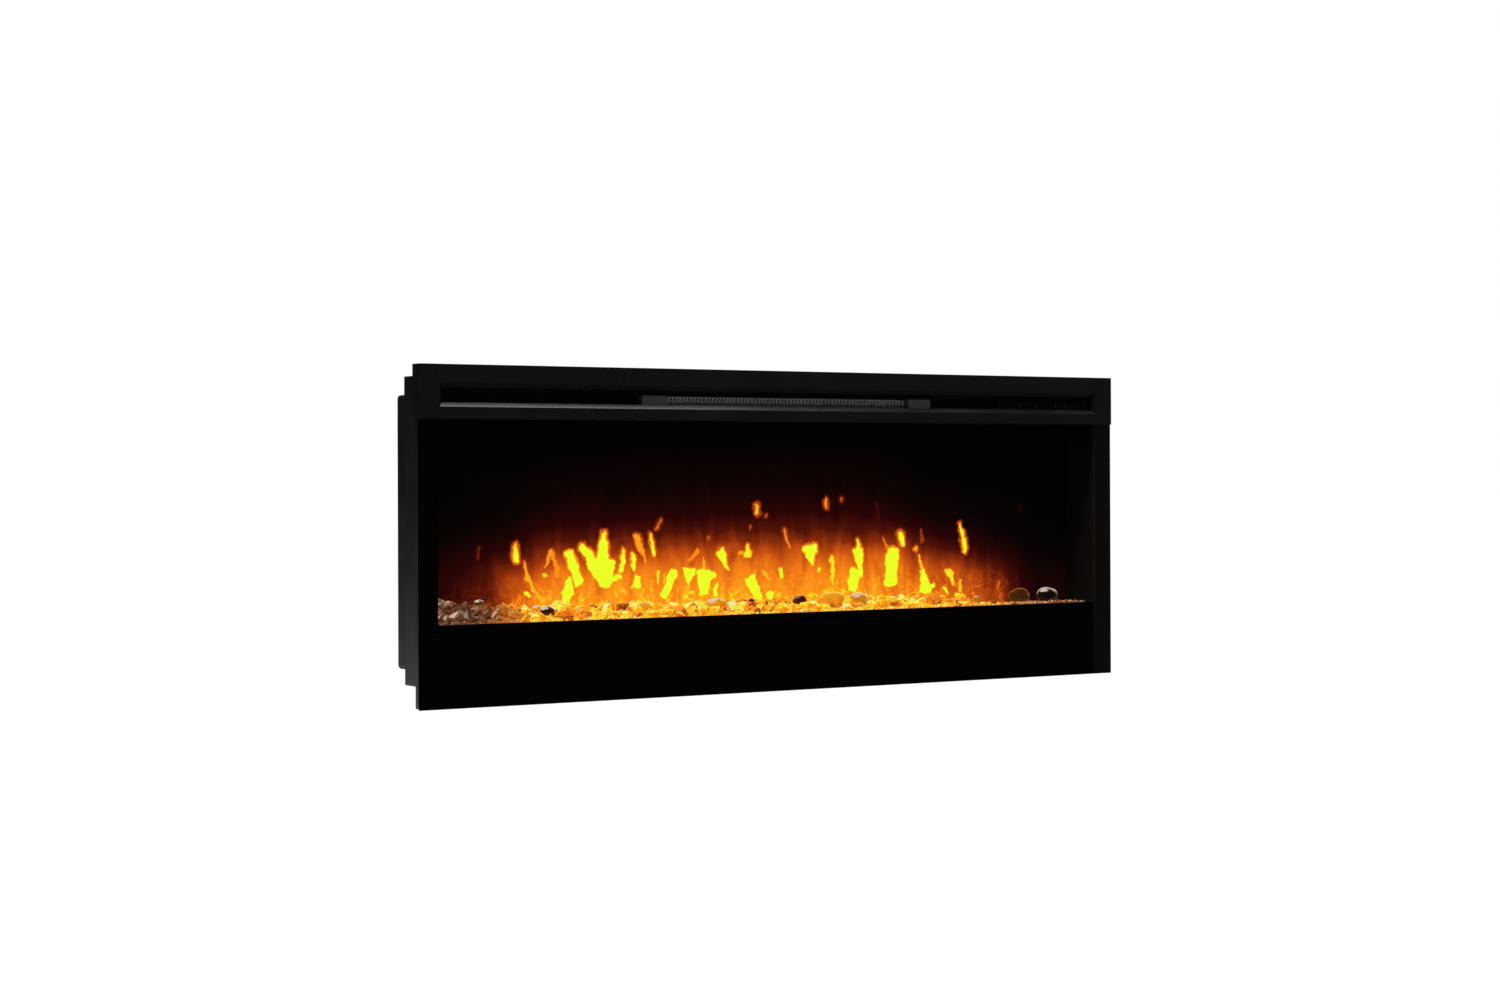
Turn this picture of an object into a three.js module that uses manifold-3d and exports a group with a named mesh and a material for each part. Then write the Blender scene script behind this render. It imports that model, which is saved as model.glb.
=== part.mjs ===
// A wide, wall-hung electric fire: steel casing, lit ember bed, flame screen, fan heater and glass front.
// Millimetres, +Z up. The front faces -Y, and the wall rail's rear face is the plane Y = 0.
// Each piece is drawn with X from the middle, Y from the bezel's face backwards and Z from the bottom edge
// of the glass; the last group moves them all to the part's own frame.
import * as THREE from "three";
import { mergeVertices } from "three/addons/utils/BufferGeometryUtils.js";
import Module from "manifold-3d";

// ---------------------------------------------------------------- driving dimensions

const gap = 0.3; // between pieces that touch
const slip = 0.5; // round a piece that slides or turns in another

// Front
const frontWidth = 1276;
const frontHeight = 496;
const bezelHeight = 78;
const bezelDepth = 24.5;
const bezelSheet = 1.6;
const bezelProud = 3; // bezel face ahead of the glass face
const shadowGap = 1.5; // between the bezel and the top edge of the glass

// Slot along the bezel, with its bevelled lip
const slotEndMargin = 31.3;
const slotTopMargin = 26.6;
const slotOpening = 34.7;
const slotBevel = 6.5;

// Glass front
const glassThickness = 4;
const printThickness = 0.5;
const carrierDepth = 12;
const carrierSheet = 1.2;
const windowSideMargin = 30.7;
const windowBottomMargin = 120.5;
const windowTopMargin = 22; // from the bezel down to the window
const windowCornerRadius = 4;
const gasketWidth = 5;
const gasketDepth = 11;
const studRadius = 3;
const studLength = 20;
const catchSize = 13;
const catchDepth = 40;

// Shallow frame behind the glass
const frameSideInset = 17.5;
const frameTopInset = 15.5;
const frameBottomInset = 30;
const frameFront = 22;
const frameRear = 90;
const casingSheet = 1.6;

// Deep casing
const casingSideInset = 44;
const casingTopInset = 40.2;
const casingBottomInset = 48;
const casingDepth = 81; // behind the shallow frame
const casingCornerRadius = 6;
const ventWidth = 6;
const ventPitch = 16;
const ventCount = 24;
const glandRadius = 8;
const glandFromRear = 35;
const glandFromBottom = 30;

// Wall rail and its hooks
const railStandOff = 9; // casing rear to the wall
const railLength = 800;
const railSheet = 2;
const railHeight = 60;
const railLip = 14;
const railHoleRadius = 3.5;
const railHoleDrop = 8; // hole centres below the rail's centre line
const railHoles = 5; // equal steps, the middle one left undrilled
const hookWidth = 60;
const hookSpacing = 600;
const hookSheet = 1.6;
const hookPlateDrop = 22; // the hook's fixing plate below the top of the rail
const hookLegLift = 1.5; // the hook's leg above the rail's flange
const hangHeight = 350; // middle of the wall rail's face above the bottom edge of the glass
const spacerFootRadius = 14;
const spacerFootHeight = 90;

// Heater
const outletWidth = 534.8;
const outletMeshWidth = 448;
const outletHeight = 14;
const outletRail = 1.5; // sill and head rail
const outletRecess = 8;
const outletMeshRecess = 18.8;
const meshSheet = 1;
const meshPitch = 6.5;
const housingEndRoom = 50; // beyond the impeller and its motor, at each end
const housingSheet = 1.2;
const impellerLength = 380;
const impellerBlades = 18;
const impellerShaftRadius = 3;
const fanMotorLength = 44;
const elementEndRoom = 52; // from the duct's end to the element
const elementDepth = 14;
const elementFins = 28;

// Controls, from the right-hand end of the bezel
const powerButtonFromEnd = 111.8;
const flameButtonFromEnd = 91.8;
const rockerFromEnd = 187;
const buttonHeightInStrip = 6.3; // button centre above the lip's inner edge
const powerButtonRadius = 3.4;
const flameButtonRadius = 2.6;
const buttonTravel = 1.2;
const buttonProud = 1.6;
const controlStripLength = 190;
const controlStripFace = 10.5;
const rockerWidth = 11;
const rockerHeight = 6.4;
const rockerTilt = 14; // degrees from one side to the other

// Fire
const fireSheet = 1.2;
const screenThickness = 4;
const trayDepth = 16; // ember tray floor below the window edge
const emberFrontHeight = 3; // above the window edge
const emberRearHeight = 24;
const rodRadius = 3;
const rodPaddleRadius = 13;
const rodPaddles = 16;
const flickerMotorRadius = 24;
const flickerMotorDepth = 18;
const ledBoard = 1.6;
const ledBoardWidth = 12;
const ledSpacing = 60;

// ---------------------------------------------------------------- heights and depths that follow

const halfFront = frontWidth / 2;
const bezelBottom = frontHeight - bezelHeight;
const glassTop = bezelBottom - shadowGap;
const windowTop = bezelBottom - windowTopMargin;
const windowBottom = windowBottomMargin;
const halfWindow = halfFront - windowSideMargin;

const slotTop = frontHeight - slotTopMargin;
const slotBottom = slotTop - slotOpening;
const halfSlot = halfFront - slotEndMargin;
const lipBottom = slotBottom + slotBevel;
const lipTop = slotTop - slotBevel;
const halfLip = halfSlot - slotBevel;

const printFront = bezelProud + glassThickness + gap;
const carrierFront = printFront + printThickness + gap;
const carrierRear = carrierFront + carrierDepth;

const halfFrame = halfFront - frameSideInset;
const frameTop = frontHeight - frameTopInset;
const frameBottom = frameBottomInset;
const casingRear = frameRear + casingDepth;
const halfCasing = halfFront - casingSideInset;
const casingTop = frontHeight - casingTopInset;
const casingBottom = casingBottomInset;
const casingFront = frameRear + gap;
const wallPlane = casingRear + railStandOff;

const ceilingBottom = windowTop + 1;
const fireFront = carrierRear + gap + 0.7;
const fireRear = frameRear - casingSheet - gap;
const screenFront = fireRear - screenThickness;
const halfFire = halfWindow + gap;

const backplateFront = bezelDepth + gap;
const backplateSheet = 1.2;
const housingFront = backplateFront + backplateSheet + gap;
const housingRear = casingRear - casingSheet - 2;
const housingBottom = ceilingBottom + fireSheet + 2.5;
const housingTop = casingTop - casingSheet - 1;
const housingInside = housingTop - housingBottom - 2 * housingSheet;
const halfHousing = (impellerLength + fanMotorLength) / 2 + housingEndRoom;
const elementLength = 2 * (halfHousing - elementEndRoom);

// ---------------------------------------------------------------- shape helpers

const wasm = await Module();
wasm.setup();

// A closed geometry as a solid that can be joined and cut.
function solid(geometry) {
  const bare = geometry.index ? geometry.toNonIndexed() : geometry.clone();
  bare.deleteAttribute("normal");
  bare.deleteAttribute("uv");
  const merged = mergeVertices(bare, 1e-4);
  const triVerts = new Uint32Array(merged.index.array);
  const vertProperties = merged.attributes.position.array;
  return new wasm.Manifold(new wasm.Mesh({ numProp: 3, vertProperties, triVerts }));
}

// A solid back as a geometry for a mesh.
function skin(body) {
  const { vertProperties, triVerts } = body.getMesh();
  const geometry = new THREE.BufferGeometry();
  geometry.setAttribute("position", new THREE.BufferAttribute(Float32Array.from(vertProperties), 3));
  geometry.setIndex(new THREE.BufferAttribute(Uint32Array.from(triVerts), 1));
  return geometry;
}

const joined = (...bodies) => bodies.reduce((sum, body) => sum.add(body));

// A block between two corners.
function block([x0, y0, z0], [x1, y1, z1]) {
  const box = new THREE.BoxGeometry(x1 - x0, y1 - y0, z1 - z0);
  return solid(box.translate((x0 + x1) / 2, (y0 + y1) / 2, (z0 + z1) / 2));
}

// A rectangle in the X-Z plane, its corners rounded where a radius is given.
function outline(x0, z0, x1, z1, radius = 0, Kind = THREE.Shape) {
  const path = new Kind();
  if (radius === 0) {
    path.moveTo(x0, z0).lineTo(x1, z0).lineTo(x1, z1).lineTo(x0, z1).lineTo(x0, z0);
    return path;
  }
  path.moveTo(x0 + radius, z0);
  path.lineTo(x1 - radius, z0);
  path.absarc(x1 - radius, z0 + radius, radius, -Math.PI / 2, 0);
  path.lineTo(x1, z1 - radius);
  path.absarc(x1 - radius, z1 - radius, radius, 0, Math.PI / 2);
  path.lineTo(x0 + radius, z1);
  path.absarc(x0 + radius, z1 - radius, radius, Math.PI / 2, Math.PI);
  path.lineTo(x0, z0 + radius);
  path.absarc(x0 + radius, z0 + radius, radius, Math.PI, 1.5 * Math.PI);
  return path;
}

// A shape in the X-Z plane given a thickness from front to rear.
function upright(shape, front, rear, curveSegments = 4) {
  const depth = rear - front;
  const geometry = new THREE.ExtrudeGeometry(shape, { depth, bevelEnabled: false, curveSegments });
  return solid(geometry.rotateX(Math.PI / 2).translate(0, rear, 0));
}

// A folded sheet or bar: its section in the Y-Z plane, run from left to right.
function lengthwise(points, left, right) {
  const shape = new THREE.Shape(points.map(([y, z]) => new THREE.Vector2(y, z)));
  const geometry = new THREE.ExtrudeGeometry(shape, { depth: right - left, bevelEnabled: false });
  const turn = new THREE.Matrix4().makeBasis(
    new THREE.Vector3(0, 1, 0),
    new THREE.Vector3(0, 0, 1),
    new THREE.Vector3(1, 0, 0),
  );
  return solid(geometry.applyMatrix4(turn).translate(left, 0, 0));
}

// Round bars along each axis, from one end to the other.
function barX(radius, left, right, y, z, sides = 24) {
  const bar = new THREE.CylinderGeometry(radius, radius, right - left, sides);
  return solid(bar.rotateZ(Math.PI / 2).translate((left + right) / 2, y, z));
}
function barY(radius, front, rear, x, z, sides = 24) {
  const bar = new THREE.CylinderGeometry(radius, radius, rear - front, sides);
  return solid(bar.translate(x, (front + rear) / 2, z));
}

const blackPaint = { color: 0x14130f, roughness: 0.55, metalness: 0.3 };
const greyPaint = { color: 0x33312d, roughness: 0.5, metalness: 0.35 };
const bareSteel = { color: 0x9a9a96, roughness: 0.4, metalness: 0.9 };
const blackPlastic = { color: 0x0d0d0d, roughness: 0.6, metalness: 0 };
const rubber = { color: 0x161616, roughness: 0.9, metalness: 0 };
const board = { color: 0x1f5a34, roughness: 0.6, metalness: 0 };

const fire = new THREE.Group();
function add(name, body, finish) {
  const mesh = new THREE.Mesh(skin(body), new THREE.MeshStandardMaterial(finish));
  mesh.name = name;
  fire.add(mesh);
}

// The two ends of the fire: a name ending and the sign of X.
const ends = [
  ["left", -1],
  ["right", 1],
];

// A block given for the right-hand end, mirrored for the left.
function endBlock(side, [x0, y0, z0], [x1, y1, z1]) {
  return side > 0 ? block([x0, y0, z0], [x1, y1, z1]) : block([-x1, y0, z0], [-x0, y1, z1]);
}

// ---------------------------------------------------------------- casing

const glandY = casingRear - glandFromRear;
const glandZ = casingBottom + glandFromBottom;

// Deep steel tub, open at the front, with slots in its rear wall for the heater's air.
function rearCasing() {
  const outer = outline(-halfCasing, casingBottom, halfCasing, casingTop, casingCornerRadius);
  const inside = outline(
    -halfCasing + casingSheet,
    casingBottom + casingSheet,
    halfCasing - casingSheet,
    casingTop - casingSheet,
    casingCornerRadius - casingSheet,
  );
  let tub = upright(outer, casingFront, casingRear);
  tub = tub.subtract(upright(inside, casingFront - 1, casingRear - casingSheet));
  const middle = (housingBottom + housingTop) / 2;
  const ventHalfHeight = housingInside * 0.3;
  for (let i = 0; i < ventCount; i++) {
    const x = (i - (ventCount - 1) / 2) * ventPitch;
    const low = [x - ventWidth / 2, casingRear - casingSheet - 1, middle - ventHalfHeight];
    const high = [x + ventWidth / 2, casingRear + 1, middle + ventHalfHeight];
    tub = tub.subtract(block(low, high));
  }
  return tub.subtract(barX(glandRadius + slip, halfCasing - 5, halfCasing + 5, glandY, glandZ));
}
add("rear_casing", rearCasing(), greyPaint);

// Shallow box round the firebox, with a flange at the rear that the deep casing is fixed to.
function recessFrame() {
  const outer = outline(-halfFrame, frameBottom, halfFrame, frameTop, 2);
  outer.holes.push(
    outline(
      -halfFrame + casingSheet,
      frameBottom + casingSheet,
      halfFrame - casingSheet,
      frameTop - casingSheet,
      0,
      THREE.Path,
    ),
  );
  const flange = outline(-halfFrame, frameBottom, halfFrame, frameTop, 2);
  flange.holes.push(
    outline(
      -halfCasing + casingSheet + casingCornerRadius / 2,
      casingBottom + casingSheet + casingCornerRadius / 2,
      halfCasing - casingSheet - casingCornerRadius / 2,
      casingTop - casingSheet,
      0,
      THREE.Path,
    ),
  );
  return upright(outer, frameFront, frameRear, 2).add(upright(flange, frameRear - casingSheet, frameRear, 2));
}
add("recess_frame", recessFrame(), greyPaint);

// Z-shaped rail screwed to the wall; the casing's hooks drop over its lip.
const railTop = hangHeight + railHeight / 2;
const lipFront = casingRear + hookSheet + gap + slip;
const railProfile = [
  [wallPlane - railSheet, hangHeight - railHeight / 2],
  [wallPlane, hangHeight - railHeight / 2],
  [wallPlane, railTop],
  [lipFront + railSheet, railTop],
  [lipFront + railSheet, railTop + railLip],
  [lipFront, railTop + railLip],
  [lipFront, railTop - railSheet],
  [wallPlane - railSheet, railTop - railSheet],
];
function wallRail() {
  let rail = lengthwise(railProfile, -railLength / 2, railLength / 2);
  for (let i = 0; i < railHoles; i++) {
    if (i === (railHoles - 1) / 2) continue;
    const x = ((i + 0.5) / railHoles - 0.5) * railLength;
    const z = hangHeight - railHoleDrop;
    rail = rail.subtract(barY(railHoleRadius, wallPlane - railSheet - 1, wallPlane + 1, x, z, 12));
  }
  return rail;
}
add("wall_rail", wallRail(), bareSteel);

for (const [end, side] of ends) {
  const x = (side * hookSpacing) / 2;
  const legFront = lipFront + railSheet + slip;
  const hookTop = railTop + railLip + slip + hookSheet;
  const hook = [
    [casingRear + gap, railTop - hookPlateDrop],
    [casingRear + gap + hookSheet, railTop - hookPlateDrop],
    [casingRear + gap + hookSheet, hookTop - hookSheet],
    [legFront, hookTop - hookSheet],
    [legFront, railTop + hookLegLift],
    [legFront + hookSheet, railTop + hookLegLift],
    [legFront + hookSheet, hookTop],
    [casingRear + gap, hookTop],
  ];
  add("hanging_hook_" + end, lengthwise(hook, x - hookWidth / 2, x + hookWidth / 2), bareSteel);
  const foot = barY(spacerFootRadius, casingRear + gap, wallPlane, x, spacerFootHeight);
  add("spacer_foot_" + end, foot, rubber);
}

// Gland where the mains lead enters the right-hand side, turned as a hexagon with a round neck.
function cableGland() {
  const body = barX(glandRadius + 4, halfCasing + gap, halfCasing + 8, glandY, glandZ, 6);
  const neck = barX(glandRadius, halfCasing - 9, halfCasing + 18, glandY, glandZ);
  return body.add(neck).subtract(barX(glandRadius - 4, halfCasing - 10, halfCasing + 19, glandY, glandZ));
}
add("cable_gland", cableGland(), blackPlastic);

// ---------------------------------------------------------------- bezel and controls

// The block whose rear narrows by the bevel on every side, as the slot's lip does.
function tapered(left, bottom, right, top) {
  const geometry = new THREE.ExtrudeGeometry(outline(left, bottom, right, top), {
    depth: slotBevel,
    bevelThickness: slotBevel,
    bevelSize: slotBevel,
    bevelSegments: 1,
  });
  return solid(geometry.rotateX(Math.PI / 2));
}

// Folded steel cover with a long slot whose edges turn inwards at 45 degrees.
function topBezel() {
  const cover = block([-halfFront, 0, bezelBottom], [halfFront, bezelDepth, frontHeight]);
  const hollow = block(
    [-halfFront + bezelSheet, bezelSheet, bezelBottom + bezelSheet],
    [halfFront - bezelSheet, bezelDepth + 1, frontHeight - bezelSheet],
  );
  const lip = tapered(
    -halfLip - bezelSheet,
    lipBottom - bezelSheet,
    halfLip + bezelSheet,
    lipTop + bezelSheet,
  ).intersect(block([-halfFront, 0, bezelBottom], [halfFront, slotBevel, frontHeight]));
  const through = block([-halfLip, -1, lipBottom], [halfLip, slotBevel + 1, lipTop]);
  const bottomRelief = block(
    [-halfFront + bezelSheet, frameFront - slip, bezelBottom - 1],
    [halfFront - bezelSheet, bezelDepth + 1, bezelBottom + bezelSheet + 1],
  );
  return cover
    .subtract(hollow)
    .add(lip)
    .subtract(tapered(-halfLip, lipBottom, halfLip, lipTop))
    .subtract(through)
    .subtract(bottomRelief);
}
add("top_bezel", topBezel(), blackPaint);

// Spring clips that hold the bezel's ends to the shallow frame.
for (const [end, side] of ends) {
  const high = lipTop;
  const low = lipBottom;
  const clip = endBlock(side, [halfFrame + gap, 8, low], [halfFront - bezelSheet - gap, frameFront, high]);
  const bow = endBlock(
    side,
    [halfFrame + gap + 1.5, 7, low - 1],
    [halfFront - bezelSheet - gap - 1.5, frameFront - 1.5, high + 1],
  );
  add("bezel_clip_" + end, clip.subtract(bow), bareSteel);
}

// Black steel plate behind the slot, open where the heater blows through and where the controls pass.
const halfOutlet = outletWidth / 2;
const halfMesh = outletMeshWidth / 2;
const outletBottom = lipBottom - outletRail;
const outletTop = lipBottom + outletHeight;
const mouthBottom = lipBottom;
const mouthTop = outletTop - outletRail;
const buttonZ = lipBottom + buttonHeightInStrip;
const rockerX = halfFront - rockerFromEnd;
const powerX = halfFront - powerButtonFromEnd;
const flameX = halfFront - flameButtonFromEnd;
const stripRight = halfLip - 6;
const stripLeft = stripRight - controlStripLength;
function slotBackplate() {
  const plate = block(
    [-halfFrame + casingSheet + 4, backplateFront, bezelBottom + bezelSheet + 1],
    [halfFrame - casingSheet - 4, backplateFront + backplateSheet, frameTop - casingSheet - 3],
  );
  const airWay = block(
    [-halfMesh, backplateFront - 1, mouthBottom],
    [halfMesh, backplateFront + backplateSheet + 1, mouthTop],
  );
  return plate.subtract(airWay);
}
add("slot_backplate", slotBackplate(), blackPaint);

// Outlet surround: two flat ends joined by a thin sill and a thin head rail.
const outletFrameRear = backplateFront - gap;
function outletSurround() {
  const whole = block([-halfOutlet, outletRecess, outletBottom], [halfOutlet, outletFrameRear, outletTop]);
  const mouth = block(
    [-halfMesh, outletRecess - 1, mouthBottom],
    [halfMesh, outletFrameRear + 1, mouthTop],
  );
  const headRelief = block(
    [-halfMesh, outletRecess - 1, mouthTop - 1],
    [halfMesh, outletMeshRecess - 1, outletTop + 1],
  );
  return whole.subtract(mouth).subtract(headRelief);
}
add("outlet_surround", outletSurround(), { color: 0x2b2b2b, roughness: 0.6, metalness: 0.2 });

// Steel mesh of slanting slots in two rows, seated in the surround.
function outletMesh() {
  const left = -halfMesh + gap;
  const right = halfMesh - gap;
  const bottom = mouthBottom + gap;
  const top = mouthTop - gap;
  const rear = outletMeshRecess + meshSheet;
  const rows = 2;
  const rim = 0.9;
  const web = 1.1;
  const rowHeight = (top - bottom - 2 * rim - web) / rows;
  const lean = rowHeight * 0.7;
  const slotWidth = meshPitch * 0.5;
  const count = Math.floor((right - left - 2 * rim - lean) / meshPitch);
  const start = -((count - 1) * meshPitch + slotWidth + lean) / 2;
  const cuts = [];
  for (let row = 0; row < rows; row++) {
    const z = bottom + rim + row * (rowHeight + web);
    for (let i = 0; i < count; i++) {
      const x = start + i * meshPitch;
      const slot = new THREE.Shape();
      slot.moveTo(x, z);
      slot.lineTo(x + slotWidth, z);
      slot.lineTo(x + slotWidth + lean, z + rowHeight);
      slot.lineTo(x + lean, z + rowHeight);
      slot.closePath();
      cuts.push(upright(slot, outletMeshRecess - 1, rear + 1));
    }
  }
  return block([left, outletMeshRecess, bottom], [right, rear, top]).subtract(wasm.Manifold.union(cuts));
}
add("outlet_mesh", outletMesh(), { color: 0x2f2f2f, roughness: 0.45, metalness: 0.5 });

// Control strip at the right of the slot, with holes for the buttons, the rocker and the receiver lens.
const stripTop = lipBottom + outletHeight;
const stripRear = backplateFront - gap;
const receiverX = (rockerX + powerX) / 2;
const receiverRadius = 2.2;
const buttonStemRear = stripRear - buttonTravel - slip;
function controlStrip() {
  let strip = block([stripLeft, controlStripFace, outletBottom], [stripRight, stripRear, stripTop]);
  const holes = [
    [powerX, powerButtonRadius + slip / 2],
    [flameX, flameButtonRadius + slip / 2],
    [receiverX, receiverRadius + gap],
  ];
  for (const [x, radius] of holes) {
    strip = strip.subtract(barY(radius, controlStripFace - 1, stripRear + 1, x, buttonZ, 24));
  }
  return strip.subtract(
    block(
      [rockerX - rockerWidth / 2 - gap, controlStripFace - 1, buttonZ - rockerHeight / 2 - gap],
      [rockerX + rockerWidth / 2 + gap, stripRear + 1, buttonZ + rockerHeight / 2 + gap],
    ),
  );
}
add("control_strip", controlStrip(), blackPlastic);

const buttons = [
  ["power_button", powerX, powerButtonRadius],
  ["flame_button", flameX, flameButtonRadius],
];
for (const [name, x, radius] of buttons) {
  const cap = barY(radius, controlStripFace - buttonProud, buttonStemRear, x, buttonZ);
  const dish = new THREE.SphereGeometry(radius * 2.2, 24, 12);
  const dishDepth = 0.4;
  const dishFront = controlStripFace - buttonProud - radius * 2.2 + dishDepth;
  add(name, cap.subtract(solid(dish.translate(x, dishFront, buttonZ))), {
    color: 0x8a8a88,
    roughness: 0.35,
    metalness: 0.6,
  });
}

// Lens over the remote control's receiver, a flat dark red rod.
const lens = barY(receiverRadius, controlStripFace - 0.4, stripRear - 1, receiverX, buttonZ, 20);
add("receiver_lens", lens, { color: 0x2a0506, roughness: 0.2, metalness: 0 });

// Mains rocker: a shallow V-faced key on a pin in a housing behind the strip.
const rockerPivotY = controlStripFace + 3.5;
const rockerHalf = rockerWidth / 2 - 2 * slip;
function rockerKey() {
  const key = new THREE.Shape();
  key.moveTo(-rockerHalf, -rockerPivotY + controlStripFace - 1.6);
  key.lineTo(0, -rockerPivotY + controlStripFace - 0.2);
  key.lineTo(rockerHalf, -rockerPivotY + controlStripFace - 1.6);
  key.lineTo(rockerHalf * 0.72, 1.5);
  key.lineTo(-rockerHalf * 0.72, 1.5);
  key.closePath();
  const depth = rockerHeight - 2 * slip;
  const body = new THREE.ExtrudeGeometry(key, { depth, bevelEnabled: false });
  body.rotateZ((-rockerTilt / 2) * (Math.PI / 180));
  return solid(body.translate(rockerX, rockerPivotY, buttonZ - depth / 2));
}
add("rocker_key", rockerKey(), blackPlastic);

// Circuit board behind the back plate that carries the switches.
const boardFront = backplateFront + backplateSheet + gap;
add(
  "control_board",
  block([stripLeft + 6, boardFront, lipBottom - 6], [stripRight - 6, boardFront + 1.6, stripTop + 6]),
  board,
);

// ---------------------------------------------------------------- glass front

// Toughened glass, square edged, hanging just below the bezel.
add(
  "front_glass",
  block([-halfFront, bezelProud, 0], [halfFront, bezelProud + glassThickness, glassTop]),
  { color: 0x0a0a0a, roughness: 0.05, metalness: 0, transparent: true, opacity: 0.25 },
);

// A plate with the window cut through it.
function windowPlate(edge, grow, front, rear, cornerRadius) {
  const plate = outline(-halfFront + edge, edge, halfFront - edge, glassTop - edge);
  plate.holes.push(
    outline(
      -halfWindow - grow,
      windowBottom - grow,
      halfWindow + grow,
      windowTop + grow,
      cornerRadius,
      THREE.Path,
    ),
  );
  return upright(plate, front, rear, 5);
}

// Black border fired on the glass's back, round the clear window.
add("glass_border", windowPlate(0.5, 0, printFront, printFront + printThickness, windowCornerRadius), {
  color: 0x030303,
  roughness: 0.3,
  metalness: 0,
});

// Folded steel tray that the glass is bonded to.
function glassCarrier() {
  const edge = 1.5; // the tray stands in from the glass's edges
  const grow = 3; // and its window is larger all round
  const face = windowPlate(edge, grow, carrierFront, carrierFront + carrierSheet, windowCornerRadius + grow);
  const outer = outline(-halfFront + edge, edge, halfFront - edge, glassTop - edge);
  const inner = edge + carrierSheet;
  outer.holes.push(outline(-halfFront + inner, inner, halfFront - inner, glassTop - inner, 0, THREE.Path));
  return face.add(upright(outer, carrierFront, carrierRear));
}
add("glass_carrier", glassCarrier(), blackPaint);

// Foam strip round the window on the carrier's back.
function glassGasket() {
  const reach = slip;
  const strip = outline(
    -halfWindow - reach - gasketWidth,
    windowBottom - reach - gasketWidth,
    halfWindow + reach + gasketWidth,
    windowTop + reach + gasketWidth,
  );
  strip.holes.push(
    outline(
      -halfWindow - reach,
      windowBottom - reach,
      halfWindow + reach,
      windowTop + reach,
      0,
      THREE.Path,
    ),
  );
  const front = carrierFront + carrierSheet + gap;
  return upright(strip, front, front + gasketDepth);
}
add("glass_gasket", glassGasket(), rubber);

// Four studs on the carrier push into spring catches on the shallow frame.
const ceilingTop = ceilingBottom + gap + fireSheet;
const lowerStudZ = frameBottom - gap - catchSize / 2;
const upperStudZ = ceilingTop + gap + studRadius + 7;
const studs = [
  ["lower", halfFrame - 12, lowerStudZ, lowerStudZ - catchSize / 2, lowerStudZ + catchSize / 2],
  ["upper", halfWindow - 30, upperStudZ, ceilingTop + gap, upperStudZ + studRadius + 2],
];
for (const [level, fromMiddle, z, low, high] of studs) {
  for (const [end, side] of ends) {
    const x = side * fromMiddle;
    const studFront = carrierFront + carrierSheet + gap;
    const head = barY(studRadius + 1, studFront, studFront + 2, x, z, 16);
    const stud = barY(studRadius, studFront + 1, frameFront + 4 + studLength, x, z, 16);
    add("glass_stud_" + level + "_" + end, head.add(stud), bareSteel);
    const half = catchSize / 2;
    const body = block([x - half, frameFront + 2, low], [x + half, frameFront + catchDepth, high]);
    const socket = barY(studRadius + slip, frameFront, frameFront + catchDepth - 2, x, z, 16);
    add("glass_catch_" + level + "_" + end, body.subtract(socket), blackPlastic);
  }
}

// ---------------------------------------------------------------- firebox

for (const [end, side] of ends) {
  const panel = endBlock(
    side,
    [halfFire + gap, fireFront, windowBottom - trayDepth],
    [halfFire + gap + fireSheet, fireRear, windowTop + 1],
  );
  add("firebox_side_" + end, panel, blackPaint);
}
add(
  "firebox_ceiling",
  block([-halfFire, fireFront, ceilingBottom + gap], [halfFire, fireRear, ceilingTop]),
  blackPaint,
);

// Clear amber tray, its front lip just under the window's edge.
const trayFloor = windowBottom - trayDepth;
const trayRear = screenFront - gap;
const trayLip = windowBottom - 1;
const traySheet = 2;
const trayProfile = [
  [fireFront, trayFloor],
  [trayRear, trayFloor],
  [trayRear, trayLip],
  [trayRear - traySheet, trayLip],
  [trayRear - traySheet, trayFloor + traySheet],
  [fireFront + traySheet, trayFloor + traySheet],
  [fireFront + traySheet, trayLip],
  [fireFront, trayLip],
];
add("ember_tray", lengthwise(trayProfile, -halfFire + gap, halfFire - gap), {
  color: 0xd9731a,
  roughness: 0.4,
  metalness: 0,
});

// Heap of crystals and pebbles, drawn as one body that rises towards the screen.
const bedFront = fireFront + traySheet + gap;
const bedRear = trayRear - traySheet - gap;
const bedBase = trayFloor + traySheet + gap;
function emberBed() {
  const span = 2 * (halfFire - 2 * gap);
  const columns = 64;
  const rows = 4;
  const heap = new THREE.BoxGeometry(span, bedRear - bedFront, 1, columns, rows, 1);
  const at = heap.attributes.position;
  for (let i = 0; i < at.count; i++) {
    const x = at.getX(i);
    const y = at.getY(i) + (bedFront + bedRear) / 2;
    const back = (y - bedFront) / (bedRear - bedFront);
    const height = windowBottom + emberFrontHeight + (emberRearHeight - emberFrontHeight) * back;
    const lump = 2.2 * Math.sin(x * 0.11 + y * 0.3) + 1.6 * Math.sin(x * 0.047 - y * 0.21);
    at.setXYZ(i, x, y, at.getZ(i) > 0 ? height + lump * back : bedBase);
  }
  return solid(heap);
}
add("ember_bed", emberBed(), { color: 0xc9862f, roughness: 0.2, metalness: 0 });

// Smoked screen that the flames are thrown on.
add(
  "flame_screen",
  block(
    [-halfFire + gap, screenFront, windowBottom - trayDepth],
    [halfFire - gap, screenFront + screenThickness, windowTop],
  ),
  { color: 0x220a04, roughness: 0.3, metalness: 0 },
);

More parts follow.
